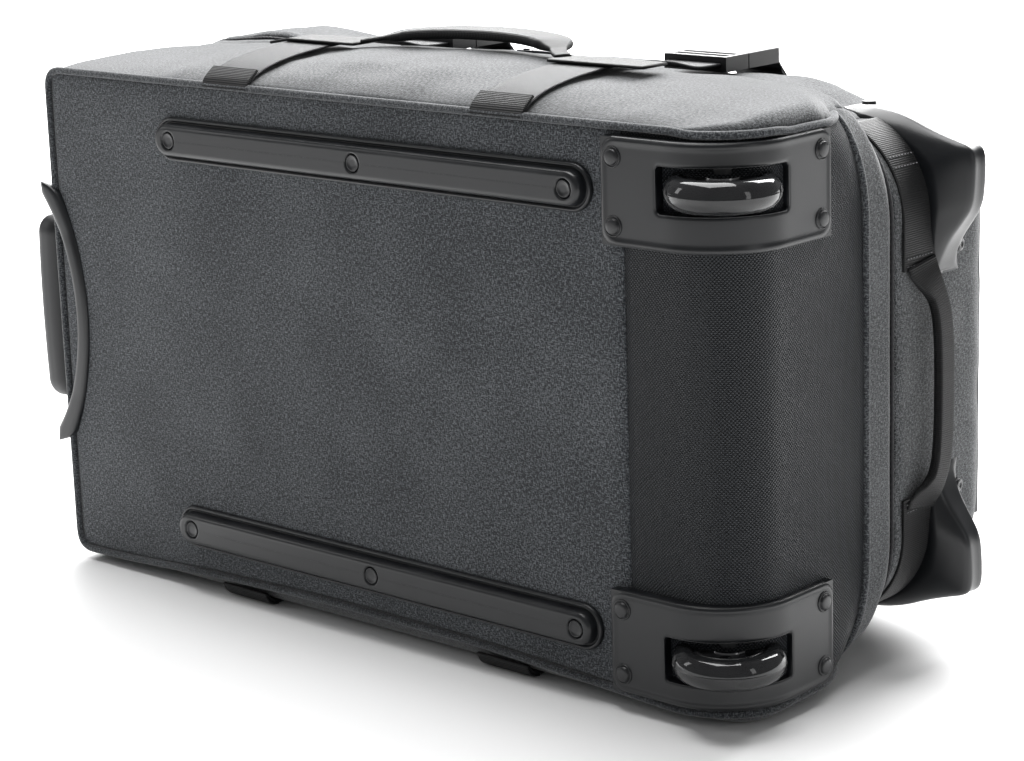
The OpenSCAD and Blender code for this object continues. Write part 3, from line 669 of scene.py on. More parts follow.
def side_panels():
    upper_back = strip_rows(BACK_DEPTHS, True, "side", "side", 200)
    upper_back = strap_press(upper_back, UPPER_STRAP_X, 3.5)
    upper_back = wrinkled(upper_back, 1.5, 60, 3.0)
    upper_front = strip_rows(FRONT_DEPTHS, True, "side", "side", 200)
    upper_front = strap_press(upper_front, UPPER_STRAP_X, 4.0)
    upper_front = wrinkled(upper_front, 2.4, 52, 9.0)
    lower_back = strip_rows(BACK_DEPTHS, False, "side", "side", 200)
    lower_front = strip_rows(FRONT_DEPTHS, False, "side", "side", 200)
    made = []
    for name, pts, node in (("upper_side_back_half", upper_back, "upper_side"),
                            ("upper_side_front_half", upper_front, "upper_side"),
                            ("lower_side_back_half", lower_back, "lower_side"),
                            ("lower_side_front_half", lower_front, "lower_side")):
        if node == "lower_side":
            pts = lower_dents(pts)
        pts = tuck(pts, 3.5, 1.5)
        piece = grid_piece(name, pts, "case", [SIDE_CLOTH, LINING_CLOTH], flip=faces_in(pts))
        thicken(piece, 2.4, inside=1)
        made.append((piece, node))
    return made


def lower_dents(points):
    """Room in the underside for the lower straps and their buckles"""
    x, y, z = points[:, :, 0], points[:, :, 1], points[:, :, 2].copy()
    for strap_x in LOWER_STRAP_X:
        across = np.clip(1 - (np.abs(x - strap_x) - 28.5) / 7, 0, 1)
        along = np.clip((y - 126) / 10, 0, 1) * np.clip((272 - y) / 10, 0, 1)
        goal = 4.6
        z = np.maximum(z, z + (goal - z) * across * along)
        shallow = np.clip(1 - (np.abs(x - strap_x) - 23) / 6, 0, 1)
        z = np.maximum(z, np.where(y < 140, z + np.clip(-5.6 - z, 0, 3) * shallow, z))
    points = points.copy()
    points[:, :, 2] = z
    return points


def end_panels():
    made = []
    handle_back = wrinkled(both_halves(BACK_DEPTHS, "handle", 60), 0.8, 55, 21.0, (1, 2))
    handle_front = wrinkled(both_halves(FRONT_DEPTHS, "handle", 60), 1.2, 50, 24.0, (1, 2))
    strip_depths = np.linspace(STRIP_Y, ZIP_Y, 14)
    strip = wrinkled(both_halves(strip_depths, "base", 110), 0.35, 30, 31.0, (1, 2))
    base_front = wrinkled(both_halves(FRONT_DEPTHS, "base", 110), 1.1, 48, 35.0, (1, 2))
    for name, pts, node, width in (
            ("handle_end_back_half", handle_back, "handle_end", 3.5),
            ("handle_end_front_half", handle_front, "handle_end", 3.5),
            ("base_strip", strip, "base_end", 2.6),
            ("base_front_half", base_front, "base_end", 3.5)):
        pts = tuck(pts, width, 1.5)
        piece = grid_piece(name, pts, "case", [SIDE_CLOTH, LINING_CLOTH], flip=faces_in(pts))
        thicken(piece, 2.4, inside=1)
        made.append((piece, node))
    return made


def corner_inset(y, z):
    """How far the base's upper and lower corners draw the scuff wrap in, at depth y and height z"""
    out = np.zeros(np.broadcast(y, z).shape)
    for high in (True, False):
        rx, rz, power = corner_size_x(y), corner_size_z(y), corner_power(y)
        edge = top_at(LENGTH - rx, y) if high else low_at(LENGTH - rx, y)
        t = (z - (edge - rz)) / rz if high else ((edge + rz) - z) / rz
        t = np.clip(t, 0, 0.999)
        out = np.maximum(out, rx * (1 - (1 - t ** power) ** (1 / power)))
    return out


def wrap_path(count_flat=10, count_arc=22, count_base=22):
    flat = [(x, 0.0) for x in np.linspace(WRAP_X, LENGTH - CORNER_R, count_flat)]
    arc = [(LENGTH - CORNER_R + CORNER_R * math.sin(a), CORNER_R * (1 - math.cos(a)))
           for a in np.linspace(0, math.pi / 2, count_arc)[1:]]
    base = [(LENGTH, y) for y in np.linspace(CORNER_R, STRIP_Y, count_base)[1:]]
    return np.array(flat + arc + base)


def scuff_wrap():
    path = wrap_path()
    rows = []
    for x, y in path:
        z = np.linspace(2.0, WIDTH - 2.0, 90)
        inset = corner_inset(np.full(90, y), z) if y > 60 else np.zeros(90)
        rows.append(np.stack([x - inset, np.full(90, y), z], 1))
    pts = np.array(rows)
    bow = np.sin(np.clip((pts[:, :, 2] - 50) / 255, 0, 1) * math.pi)
    pts = push(pts, 1.4 * bow * np.clip(pts[:, :, 1] / 30, 0, 1))
    pts = tuck(pts, 2.5, 1.0)
    piece = grid_piece("scuff_wrap_cloth", pts, "case", [SCUFF_CLOTH, LINING_CLOTH],
                       flip=faces_in(pts))
    thicken(piece, 2.2, inside=1)
    return piece


def back_cloth_panel():
    rows = []
    for f in np.linspace(0, 1, 90):
        x = np.concatenate([[0, 1.5, 3.5], np.linspace(7, WRAP_X - 5, 150), [WRAP_X - 2, WRAP_X]])
        low = back_edge_low(x)
        z = low + (WIDTH - low) * f
        rows.append(np.stack([x, np.zeros_like(x), z], 1))
    pts = np.array(rows)
    inside = np.minimum(pts[:, :, 2] / 50, (WIDTH - pts[:, :, 2]) / 50).clip(0, 1)
    pts[:, :, 1] -= 0.5 * inside * (1 + ripple(pts[:, :, 0], pts[:, :, 2], 90, 2.0))
    pts = tuck(pts, 3.0, 1.4)
    piece = grid_piece("back_cloth_panel", pts, "case", [BACK_CLOTH, LINING_CLOTH],
                       flip=faces_in(pts))
    thicken(piece, 2.2, inside=1)
    return piece


def edge_line(high, y):
    pts = half_outline(y, high)
    mark = next(k for k, p in enumerate(pts) if k > 60 and at_edge(high)(p))
    return pts[mark]


def piping_loop():
    """The cord seam round the back panel, the scuff wrap and the strip beside it"""
    def one_side(high):
        sign = 1 if high else -1
        def edge(x):
            return WIDTH + 0.6 if high else float(back_edge_low(x)) - 0.6
        line = [(-0.6, -0.6, z) for z in np.linspace(MID_Z, edge(0) - sign * 9, 16)]
        line += [(9 - 9.6 * math.cos(a), -0.6, edge(0) - sign * 9 * (1 - math.sin(a)))
                 for a in np.linspace(0.2, math.pi / 2, 7)]
        line += [(x, -0.6, edge(x)) for x in np.linspace(16, LENGTH - CORNER_R, 60)]
        line += [(LENGTH - CORNER_R + 42.6 * math.sin(a), 42 - 42.6 * math.cos(a), edge(600) - sign * 1.5)
                 for a in np.linspace(0, math.pi / 2, 14)[1:]]
        for y in np.linspace(50, STRIP_Y - 3, 14):
            x, z = edge_line(high, y)
            line.append((x + 0.6, y, z))
        pts = half_outline(STRIP_Y, high)
        mark = next(k for k, p in enumerate(pts) if k > 60 and at_edge(high)(p))
        line += [(x + 0.8, STRIP_Y, z) for x, z in resample(pts[mark + 2:], 34)]
        return line
    loop = one_side(True) + one_side(False)[::-1]
    path = resample(loop, 620, closed=True)
    for _ in range(3):
        path = (np.roll(path, 1, 0) + path * 2 + np.roll(path, -1, 0)) / 4
    piece = swept_piece("back_panel_piping", path, circle(2.6, 12), outward_up(path), "case",
                        [PIPING_CLOTH], closed=True)
    return piece


def outward_up(path):
    up = np.asarray(path) - np.array([LENGTH / 2, DEPTH / 2, MID_Z])
    return up / np.linalg.norm(up, axis=1)[:, None]


def full_loop(y, count, inset=0.0):
    upper = half_outline(y, True)
    lower = half_outline(y, False)
    loop = np.concatenate([upper, lower[::-1][1:-1]])
    pts = resample(loop, count, closed=True)
    if inset:
        t = np.roll(pts, -1, 0) - np.roll(pts, 1, 0)
        t /= np.linalg.norm(t, axis=1)[:, None]
        n = np.stack([-t[:, 1], t[:, 0]], 1)
        pts = pts - n * inset
    return pts


def divider_zip_band():
    """The zip in the groove between the two halves: tape, and the coil proud of its middle"""
    rows = []
    for y, inset in ((ZIP_Y - 4, 3.4), (ZIP_Y - 1, 3.0), (ZIP_Y + 1.4, 2.6), (ZIP_Y + 3.6, 2.6),
                     (FRONT_HALF_Y + 1, 3.0), (FRONT_HALF_Y + 4, 3.4)):
        loop = full_loop(y, 420, inset)
        rows.append(np.stack([loop[:, 0], np.full(len(loop), y), loop[:, 1]], 1))
    tape = grid_piece("divider_zip_tape", np.array(rows), "case", [ZIP_CLOTH], close_u=True,
                      flip=faces_in(np.array(rows)))
    thicken(tape, 0.8)
    centre = full_loop(159.5, 1900, 1.3)
    path = np.stack([centre[:, 0], np.full(len(centre), 159.5), centre[:, 1]], 1)
    beat = 1 + 0.16 * np.sin(np.arange(len(path)) * math.pi / 2)
    coil = swept_piece("divider_zip_coil", path, circle(1.5, 8, 0.7), outward_up(path), "case",
                       [ZIP_CLOTH], closed=True, sizes=np.stack([beat, beat], 1))
    return tape, coil


FLAP_X = (46.0, 552.0)
FLAP_Z = (50.0, 305.0)
FLAP_R = 34.0


def flap_outline(grow, count):
    half_x = (FLAP_X[1] - FLAP_X[0]) / 2 + grow
    half_z = (FLAP_Z[1] - FLAP_Z[0]) / 2 + grow
    ring = rounded_rect(half_x, half_z, FLAP_R + grow, 10, 30)
    ring = ring + [(FLAP_X[0] + FLAP_X[1]) / 2, (FLAP_Z[0] + FLAP_Z[1]) / 2]
    even = resample(ring, count, closed=True)
    centre = np.array([(FLAP_X[0] + FLAP_X[1]) / 2, MID_Z])
    first = np.argmin(np.abs(np.arctan2(even[:, 1] - centre[1], even[:, 0] - centre[0])))
    return np.roll(even, -first, 0)


def front_frame_panel():
    count = 320
    inner = flap_outline(0.5, count)
    outer = full_loop(279.0, 1200)
    centre = np.array([(FLAP_X[0] + FLAP_X[1]) / 2, MID_Z])
    angle_in = np.unwrap(np.arctan2(inner[:, 1] - centre[1], inner[:, 0] - centre[0]))
    ang = np.arctan2(outer[:, 1] - centre[1], outer[:, 0] - centre[0])
    order = np.argsort(ang)
    ang, outer = ang[order], outer[order]
    goal = (angle_in + math.pi) % (2 * math.pi) - math.pi
    matched = np.stack([np.interp(goal, ang, outer[:, k], period=2 * math.pi) for k in (0, 1)], 1)
    rows = []
    for f, y in ((0, 279.0), (0.12, 281.5), (0.3, 283.6), (0.55, 285.0), (0.8, 285.3), (0.93, 284.8),
                 (1, 283.4)):
        ring = matched * (1 - f) + inner * f
        rows.append(np.stack([ring[:, 0], np.full(count, y), ring[:, 1]], 1))
    rows.append(np.stack([inner[:, 0], np.full(count, 279.5), inner[:, 1]], 1))
    pts = np.array(rows)
    piece = grid_piece("front_frame_cloth", pts, "case", [SIDE_CLOTH, LINING_CLOTH],
                       close_u=True,
                       flip=faces_in(pts))
    thicken(piece, 2.0, inside=1)
    seam = full_loop(279.0, 420, -0.2)
    path = np.stack([seam[:, 0], np.full(len(seam), 279.6), seam[:, 1]], 1)
    cord = swept_piece("front_panel_piping", path, circle(2.2, 10), outward_up(path), "case",
                       [PIPING_CLOTH], closed=True)
    return piece, cord


def front_flap_panel():
    count = 320
    rows = []
    for grow, y in ((-2.5, 281.5), (-2.3, 284.0), (-2.6, 286.2), (-4.5, 287.6), (-9, 288.6), (-20, 289.4)):
        ring = flap_outline(grow, count)
        rows.append(np.stack([ring[:, 0], np.full(count, y), ring[:, 1]], 1))
    reach = (FLAP_Z[1] - FLAP_Z[0]) / 2
    spine = np.stack([ring[:, 0].clip(FLAP_X[0] + reach, FLAP_X[1] - reach), np.full(count, MID_Z)], 1)
    for f in (0.12, 0.25, 0.4, 0.55, 0.7, 0.85, 1.0):
        line = ring * (1 - f) + spine * f
        rows.append(np.stack([line[:, 0], np.full(count, 289.4 + 1.3 * math.sin(f * math.pi / 2)),
                              line[:, 1]], 1))
    pts = np.array(rows)
    pts[:, :, 1] += 0.8 * ripple(pts[:, :, 0], pts[:, :, 2], 70, 44.0) * np.clip(np.arange(len(rows)) - 3,
                                                                                 0, 1)[:, None]
    piece = grid_piece("front_flap_cloth", pts, "flap", [SIDE_CLOTH, LINING_CLOTH],
                       close_u=True,
                       flip=faces_in(pts))
    thicken(piece, 2.6, inside=1)
    return piece


def flap_hinge_cloth():
    """The turned edge of cloth on which the flap swings"""
    rows = []
    for x, y in ((562, 284.6), (558.5, 286.0), (556, 286.8), (553.5, 287.2), (551, 287.6), (548, 288.3),
                 (544, 289.0)):
        z = np.linspace(88, 267, 60)
        rows.append(np.stack([np.full(60, float(x)), np.full(60, y) + 0.25 * np.sin(z / 9), z], 1))
    pts = np.array(rows)
    piece = grid_piece("flap_hinge_cloth", pts, None, [SIDE_CLOTH, LINING_CLOTH],
                       flip=faces_in(pts))
    thicken(piece, 1.0, inside=1)
    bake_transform(piece)
    return piece


def front_zip():
    """The U-shaped zip: tape, and a coil in the gap between the flap and its frame"""
    loop = flap_outline(-1.0, 1500)
    keep = loop[:, 0] < FLAP_X[1] - 26
    start = np.argmax(keep & ~np.roll(keep, 1))
    loop = np.roll(loop, -start, 0)[:int(keep.sum())]
    path = np.stack([loop[:, 0], np.full(len(loop), 285.6), loop[:, 1]], 1)
    beat = 1 + 0.16 * np.sin(np.arange(len(path)) * math.pi / 2)
    coil = swept_piece("flap_zip_coil", path, circle(1.4, 8, 0.7), (0, 1, 0), "flap", [ZIP_CLOTH],
                       sizes=np.stack([beat, beat], 1))
    rows = []
    for grow, y in ((-8, 285.2), (-4, 284.9), (-1, 284.7), (1.5, 284.6)):
        ring = flap_outline(grow, 1500)
        ring = np.roll(ring, -start, 0)[:int(keep.sum())]
        rows.append(np.stack([ring[:, 0], np.full(len(ring), y), ring[:, 1]], 1)[::4])
    tape = grid_piece("flap_zip_tape", np.array(rows), "flap", [ZIP_CLOTH])
    thicken(tape, 0.6)
    return coil, tape


for cloth, node in side_panels() + end_panels():
    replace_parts(cloth, node)
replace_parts(scuff_wrap(), "scuff_wrap")
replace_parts(back_cloth_panel(), "back_panel")
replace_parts(piping_loop(), "back_piping")
for piece in divider_zip_band():
    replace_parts(piece, "divider_zip")
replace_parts(front_frame_panel()[0], "front_frame")
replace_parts(front_flap_panel(), "front_flap")
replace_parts(front_zip()[0], "flap_zip")
flap_hinge_cloth()

# ---------------------------------------------------------------- moulded pieces
RIVET_X = (136.6, 315.0, 494.0)
RAIL_Z = (MID_Z + 138.6, MID_Z - 138.6)
PLATE_Z = (317.5, 37.5)
WINDOW_Z = (321.3, 33.7)
SIDES = ("upper", "lower")
RAIL_PROFILE = ((14.4, 1.0), (14.9, 0.0), (15.2, -1.4), (15.0, -2.8), (14.4, -3.7), (13.6, -4.0),
                (12.9, -3.7),
                (12.4, -3.0), (12.1, -2.5), (11.7, -2.5), (11.4, -3.0), (11.2, -4.4), (11.0, -6.4), (10.6,
                                                                                                     -8.0),
                (10.0, -9.0), (9.1, -9.6), (8.2, -9.9), (7.4, -10.0), (6.8, -10.0), (6.2, -10.0), (5.6,
                                                                                                   -10.0),
                (4.8, -10.0), (4.0, -10.0), (3.0, -10.0), (2.0, -10.0), (1.0, -10.0), (0.05, -10.0))


def skid_rail(side, mid):
    """A rounded bar on a rolled flange, with a seat for each of its rivets"""
    x0, x1 = 118.0 + 14.9, 510.0 - 14.9
    xs = [np.arange(x0, x1, 4.0), [x1]] + [np.arange(r - 8, r + 8, 0.6) for r in RIVET_X]
    xs = np.unique(np.round(np.concatenate(xs).clip(x0, x1), 2))
    arc = np.linspace(-math.pi / 2, math.pi / 2, 40)[1:-1]
    rows = []
    for r, y in RAIL_PROFILE:
        line = [(x, -r) for x in xs] + [(x1 + r * math.cos(a), r * math.sin(a)) for a in arc]
        line += [(x, r) for x in xs[::-1]] + [(x0 - r * math.cos(a), -r * math.sin(a)) for a in arc]
        line = np.array(line)
        depth = np.full(len(line), y)
        if r < 8.5:
            for rx in RIVET_X:
                near = np.hypot(line[:, 0] - rx, line[:, 1])
                depth = np.maximum(depth, y + 1.9 * np.clip((6.6 - near) / 0.7, 0, 1))
        rows.append(np.stack([line[:, 0], depth, mid + line[:, 1]], 1))
    piece = grid_piece(side + "_skid_rail", np.array(rows), "case", [NYLON], close_u=True,
                       flip=True)
    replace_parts(piece, side + "_rail")
    return piece


RIVET_HEAD = ((5.5, 0.0), (5.5, 1.1), (5.3, 1.5), (4.9, 1.7), (4.5, 1.55), (4.2, 1.3), (2.0, 1.25),
              (0.0, 1.25))
PLATE_RIVET = ((6.6, -0.2), (6.5, 0.6), (6.1, 0.9), (5.7, 0.6), (5.3, 0.3), (4.9, 0.4), (4.85, 1.6),
               (4.5, 2.1),
               (3.6, 2.4), (2.0, 2.6), (0.0, 2.65))


def plate_point(s, z, h):
    """A point s along the wheel plate's wrap round the corner, at height z, h proud of its face"""
    s, z, h = np.broadcast_arrays(s, z, h)
    flat = PLATE_CENTRE[0] - 521.6
    turn = np.clip((s - flat) / PLATE_R, 0, math.pi / 2)
    nx, ny = np.sin(turn), -np.cos(turn)
    x = PLATE_CENTRE[0] + (PLATE_R + h) * nx - np.clip(flat - s, 0, None)
    y = PLATE_CENTRE[1] + (PLATE_R + h) * ny + np.clip(s - flat - PLATE_R * math.pi / 2, 0, None)
    return np.stack([x, y, z], -1)


def wheel_plate(side, mid, window_mid):
    half_s = (PLATE_CENTRE[0] - 521.6 + PLATE_R * math.pi / 2 + 45) / 2
    per = dict(per_corner=8, per_side=40)
    outer = lambda grow: rounded_rect(half_s + grow, 32.5 + grow, 9.5, **per) + [half_s, mid]
    inner = lambda grow: rounded_rect(44.25 + grow, 14.25 + grow, 3.2 + max(grow, 0), **per) + [85.65,
                                                                                                window_mid]
    rows = []
    for grow, h in ((0.1, -7.6), (0.45, -6.0), (0.55, -2.4), (0.35, -0.9), (-0.3, 0.1), (-1.3, 0.75),
                    (-2.4, 0.9),
                    (-3.5, 0.65), (-4.4, 0.35), (-6.0, 0.3)):
        ring = outer(grow)
        rows.append(plate_point(ring[:, 0], ring[:, 1], h))
    first, last = outer(-6.0), inner(2.4)
    for f in (0.2, 0.4, 0.6, 0.8, 1.0):
        ring = first * (1 - f) + last * f
        rows.append(plate_point(ring[:, 0], ring[:, 1], 0.3))
    for grow, h in ((1.2, 0.25), (0.4, -0.05), (0.0, -0.7), (-0.1, -1.8), (-0.1, -4.0), (0.1, -9.0)):
        ring = inner(grow)
        rows.append(plate_point(ring[:, 0], ring[:, 1], h))
    piece = grid_piece(side + "_wheel_plate", np.array(rows), "case", [NYLON], close_u=True,
                       flip=True)
    heads = []
    for s in (-1, 1):
        z = mid + s * 20.75
        for tag, centre, axis in (("back", (530.7, -7.3, z), (0, -1, 0)),
                                  ("base", (620.3, 78.4, z), (1, 0, 0))):
            name = "%s_plate_rivet_%s_%d" % (side, tag, s + 1)
            heads.append(lathe_piece(name, PLATE_RIVET, centre, axis, "case", [RIVET_NYLON], 32))
    return piece, heads


def clear_tyre_ring(side, z):
    profile = [(22.6, -8.6), (24.5, -9.6), (27.0, -9.9), (29.5, -9.3), (31.8, -7.8), (33.4, -5.7),
               (34.4, -3.2),
               (34.8, -1.2), (34.85, -0.45), (35.05, 0.0)]
    profile += [(r, -h) for r, h in profile[:-1][::-1]] + [(22.0, 5.0), (21.7, 0.0), (22.0, -5.0)]
    ang = np.linspace(0, 2 * math.pi, 96, endpoint=False)
    pts = np.array([[(597 + r * math.cos(a), 13 + r * math.sin(a), z + h) for a in ang] for r, h in profile])
    piece = grid_piece(side + "_clear_tyre", pts, side + "_wheel", [CLEAR_TYRE], close_u=True,
                       close_v=True)
    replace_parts(piece, side + "_tyre")
    return piece


def hub_cap(side, z):
    """Spoked core inside the clear tyre: rim and five ribs"""
    body = side + "_wheel"
    rim = [(21.5, -7.6), (20.9, -8.4), (19.6, -8.6), (18.9, -7.9), (18.6, -4.0), (18.6, 4.0), (18.9, 7.9),
           (19.6, 8.6), (20.9, 8.4), (21.5, 7.6)]
    ang = np.linspace(0, 2 * math.pi, 64, endpoint=False)
    pts = np.array([[(597 + r * math.cos(a), 13 + r * math.sin(a), z + h) for a in ang] for r, h in rim])
    grid_piece(side + "_hub_rim", pts, body, [HUB_NYLON], close_u=True, close_v=True)
    for k in range(5):
        a = 2 * math.pi * k / 5 + 0.4
        path = [(597 + r * math.cos(a), 13 + r * math.sin(a), z) for r in np.linspace(11.8, 18.8, 6)]
        swept_piece("%s_hub_rib_%d" % (side, k), path, rounded_rect(1.5, 7.2, 0.8, 3, 1), (0, 0, 1), body,
                    [HUB_NYLON])


FOOT_OUTER = ((546, 341.5), (556, 344.2), (570, 344.0), (590, 340.5), (612, 331.5), (630, 326.0),
              (639, 323.5),
              (643.4, 318), (643.2, 300), (641.5, 285), (634, 274), (625, 262), (619, 249), (617.4, 243))


def base_foot(side, z_sign):
    """A curved runner over the corner of the base. It flares into a screwed flange at its inner end."""
    outer = smooth_line(FOOT_OUTER, 70)
    inner = np.array(half_outline(212, True))
    inner = inner[(inner[:, 0] > 540) & (inner[:, 1] > 238)]
    inner = resample(inner, 70)
    f = np.linspace(0, 1, 70)
    flare = np.clip((f - 0.72) / 0.28, 0, 1) ** 1.5
    tip = np.clip(f / 0.14, 0, 1) ** 0.7
    section = ((-0.1, 0.0, -1), (0.3, 0.0, -1), (0.6, 0.0, -1), (0.85, 0.05, -1), (0.95, 0.35, -1),
               (0.995, 1.1, -1),
               (1.0, 2.6, -1), (0.985, 5.0, -1), (0.985, 5.0, 1), (1.0, 2.6, 1), (0.995, 1.1, 1), (0.95,
                                                                                                   0.35, 1),
               (0.85, 0.05, 1), (0.6, 0.0, 1), (0.3, 0.0, 1), (-0.1, 0.0, 1))
    rows = []
    for k in range(70):
        row = []
        half = 7.6 * (0.55 + 0.45 * tip[k])
        for reach, inset, sign in section:
            fade = 1 - max(reach, 0)
            spread_out = 1 + flare[k] * (1.1 if sign > 0 else 0.25) * fade
            y = 213.5 + sign * max(half - inset, 0.6) * spread_out + flare[k] * 3.0 * (sign > 0)
            if sign < 0:
                y -= 11.0 * tip[k] * (1 - flare[k]) * np.clip(1 - reach, 0, 1) ** 0.8
            p = inner[k] * (1 - reach) + outer[k] * reach
            z = p[1] if z_sign > 0 else WIDTH - p[1]
            row.append((p[0], y, z))
        rows.append(row)
    piece = grid_piece(side + "_corner_foot", np.array(rows), "case", [NYLON], close_u=True,
                       caps=True,
                       flip=(z_sign < 0))
    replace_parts(piece, side + "_foot")
    z = 257.0 if z_sign > 0 else WIDTH - 257.0
    lathe_piece(side + "_foot_screw_head",
                ((4.4, -2.0), (4.4, 0.4), (4.0, 1.0), (3.0, 1.3), (1.6, 1.2), (1.3, 0.5), (0.0, 0.4)),
                (620.5, 226.5, z), (1, 0.15, 0), "case", [RIVET_NYLON], 28)
    return piece


def handle_crescent():
    """The crescent plate round the handle opening, with a flared ear at each end"""
    count = 90
    t = np.linspace(-96.5, 96.5, count)
    out_x = -164.6 + np.sqrt(191.3 ** 2 - t ** 2)
    in_x = -128.8 + np.sqrt(139.7 ** 2 - np.clip(np.abs(t), 0, 88) ** 2)
    past = np.clip((np.abs(t) - 86) / 10.5, 0, 1)
    close = np.sqrt(1 - past ** 2)
    mid_x = (out_x + in_x) / 2
    out_x = mid_x + (out_x - mid_x) * np.maximum(close, 0.08)
    in_x = mid_x + (in_x - mid_x) * np.maximum(close, 0.08)
    section = ((0.0, 1.6), (-0.01, -0.8), (0.02, -2.4), (0.07, -3.4), (0.2, -4.1), (0.42, -4.5), (0.52, -4.5),
               (0.6, -4.0), (0.68, -2.8), (0.78, -0.6), (0.89, 3.2), (0.97, 8.0), (1.02, 13.0), (1.02, 20.0),
               (0.97, 28.0), (0.88, 33.0), (0.7, 34.0), (0.3, 31.0), (0.08, 12.0))
    rows = []
    for k in range(count):
        lift = 2.2 * np.clip((abs(t[k]) - 60) / 36, 0, 1)
        rows.append([(out_x[k] * (1 - f) + in_x[k] * f, y - lift if y < 0 else y, MID_Z + t[k]) for f,
                     y in section])
    piece = grid_piece("handle_crescent", np.array(rows), "case", [NYLON], close_u=True,
                       caps=True)
    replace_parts(piece, "handle_bezel")
    return piece


def pull_grip():
    t = np.linspace(-1, 1, 60)
    path = np.array([(-22.5 - 2.2 * (1 - a * a), 16.0, MID_Z + 69 * a) for a in t])
    round_end = np.sqrt(np.clip(1 - np.clip((np.abs(t) - 0.8) / 0.2, 0, 1) ** 2, 0.0025, 1))
    size = np.stack([round_end, round_end], 1)
    section = rounded_rect(13.2, 12.6, 11.0, 8, 2)
    piece = swept_piece("pull_grip", path, section, (0, -1, 0), "handle_section",
                        [GRIP_RUBBER],
                        sizes=size)
    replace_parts(piece, "grip")
    return piece


for name, rail_z in zip(SIDES, RAIL_Z):
    skid_rail(name, rail_z)
rail_heads = [lathe_piece("rail_rivet_%s_%d" % (name, k), RIVET_HEAD, (x, -8.1, rail_z), (0, -1, 0), "case",
                          [RIVET_NYLON], 32)
              for name, rail_z in zip(SIDES, RAIL_Z) for k, x in enumerate(RIVET_X)]
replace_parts(rail_heads[0], "rail_rivets")
plate_heads = []
for name, plate_z, window_z in zip(SIDES, PLATE_Z, WINDOW_Z):
    plate_heads += wheel_plate(name, plate_z, window_z)[1]
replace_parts(plate_heads[0], "housing_rivets")
for name, sign in zip(SIDES, (1, -1)):
    clear_tyre_ring(name, MID_Z + sign * 143.8)
    hub_cap(name, MID_Z + sign * 143.8)
    base_foot(name, sign)
handle_crescent()
pull_grip()

# ---------------------------------------------------------------- webbing and handles
def ribbon(name, path, across, width, body, materials=None, thick=1.7, sizes=None,
           flip=False):
    """Webbing along a path; across is the direction of its width"""
    path = np.asarray(path, float)
    tangent = np.gradient(path, axis=0)
    up = np.cross(np.broadcast_to(np.asarray(across, float), path.shape), tangent)
    up /= np.linalg.norm(up, axis=1)[:, None]
    section = rounded_rect(width / 2, thick / 2, thick * 0.45, 3, 6)
    return swept_piece(name, path, section, up, body, materials or [TAPE], sizes=sizes, flip=flip)


def stitch_row(name, start, end, up, body, pitch=3.2, thread=0.32):
    """A row of lockstitches, each a short raised thread"""
    start, end = np.array(start, float), np.array(end, float)
    along = (end - start) / np.linalg.norm(end - start)
    side = np.cross(along, up)
    verts, faces = [], []
    for k in range(int(np.linalg.norm(end - start) // pitch)):
        a = start + along * (k + 0.18) * pitch
        b = start + along * (k + 0.82) * pitch
        base = len(verts)
        for f, size in ((0, 0.3), (0.2, 0.9), (0.5, 1.1), (0.8, 0.9), (1, 0.3)):
            mid = a * (1 - f) + b * f
            for ang in np.linspace(0, 2 * math.pi, 6, endpoint=False):
                verts.append(mid + thread * size * (side * math.cos(ang) + np.array(up,
                                                                                    float) * math.sin(ang)))
        for i in range(4):
            for j in range(6):
                p, q = base + i * 6 + j, base + i * 6 + (j + 1) % 6
                faces.append((p, q, q + 6, p + 6))
    mesh = bpy.data.meshes.new(name)
    mesh.from_pydata([tuple(p) for p in place(verts)], [], faces)
    mesh.polygons.foreach_set("use_smooth", [True] * len(mesh.polygons))
    return add_object(name, mesh, body, [THREAD])


def long_strap(side, index, x):
    if side == "upper":
        knots = [(x, -0.8, 355.2), (x, 0.6, 358.0), (x, 6, 362.5), (x, 20, 368.5), (x, 45, 373.0),
                 (x, 72, 375.3),
                 (x, 96, 376.3), (x, 122, 375.3), (x, 145, 371.5), (x, 158, 368.0), (x, 170, 364.9), (x,
                         190, 364.3), (x, 206, 364.3)]
        tab = [(x, -2.4, 354.6), (x, -0.6, 359.2), (x, 4.0, 363.2), (x, 9.0, 366.8)]
    else:
        knots = [(x, 0.2, 1.0), (x, 3, -3.5), (x, 9, -6.6), (x, 20, -7.0), (x, 60, -7.1), (x, 124, -7.1),
                 (x, 134, -5.4), (x, 146, -4.2), (x, 190, -4.2), (x, 206, -4.2)]
        tab = [(x, -1.6, 1.8), (x, 0.6, -3.2), (x, 4.5, -6.6), (x, 9.5, -7.2)]
    path = smooth_line(knots, 70, 3)
    strap = ribbon("%s_strap_%d" % (side, index), path, (1, 0, 0), STRAP_W, "case")
    fold = ribbon("%s_strap_tab_%d" % (side, index), smooth_line(tab, 24, 3), (1, 0, 0), STRAP_W + 1.2,
                  "case",
                  [TAPE_FOLD], thick=2.2)
    return strap, fold


def wedge_tail(side, index, x):
    """The webbing that holds each buckle socket, sewn down over the front's edge"""
    if side == "upper":
        knots = [(x, 242, 364.3), (x, 250, 363.9), (x, 256, 360.8), (x, 262, 354.0), (x, 268, 347.0),
                 (x, 273, 340.5),
                 (x, 278, 331.0)]
    else:
        knots = [(x, 242, -4.2), (x, 250, -4.0), (x, 256, -1.6), (x, 263, 4.6), (x, 271, 12.0),
                 (x, 278, 23.0)]
    return ribbon("%s_socket_tape_%d" % (side, index), smooth_line(knots, 40, 3), (1, 0, 0), STRAP_W, "case")


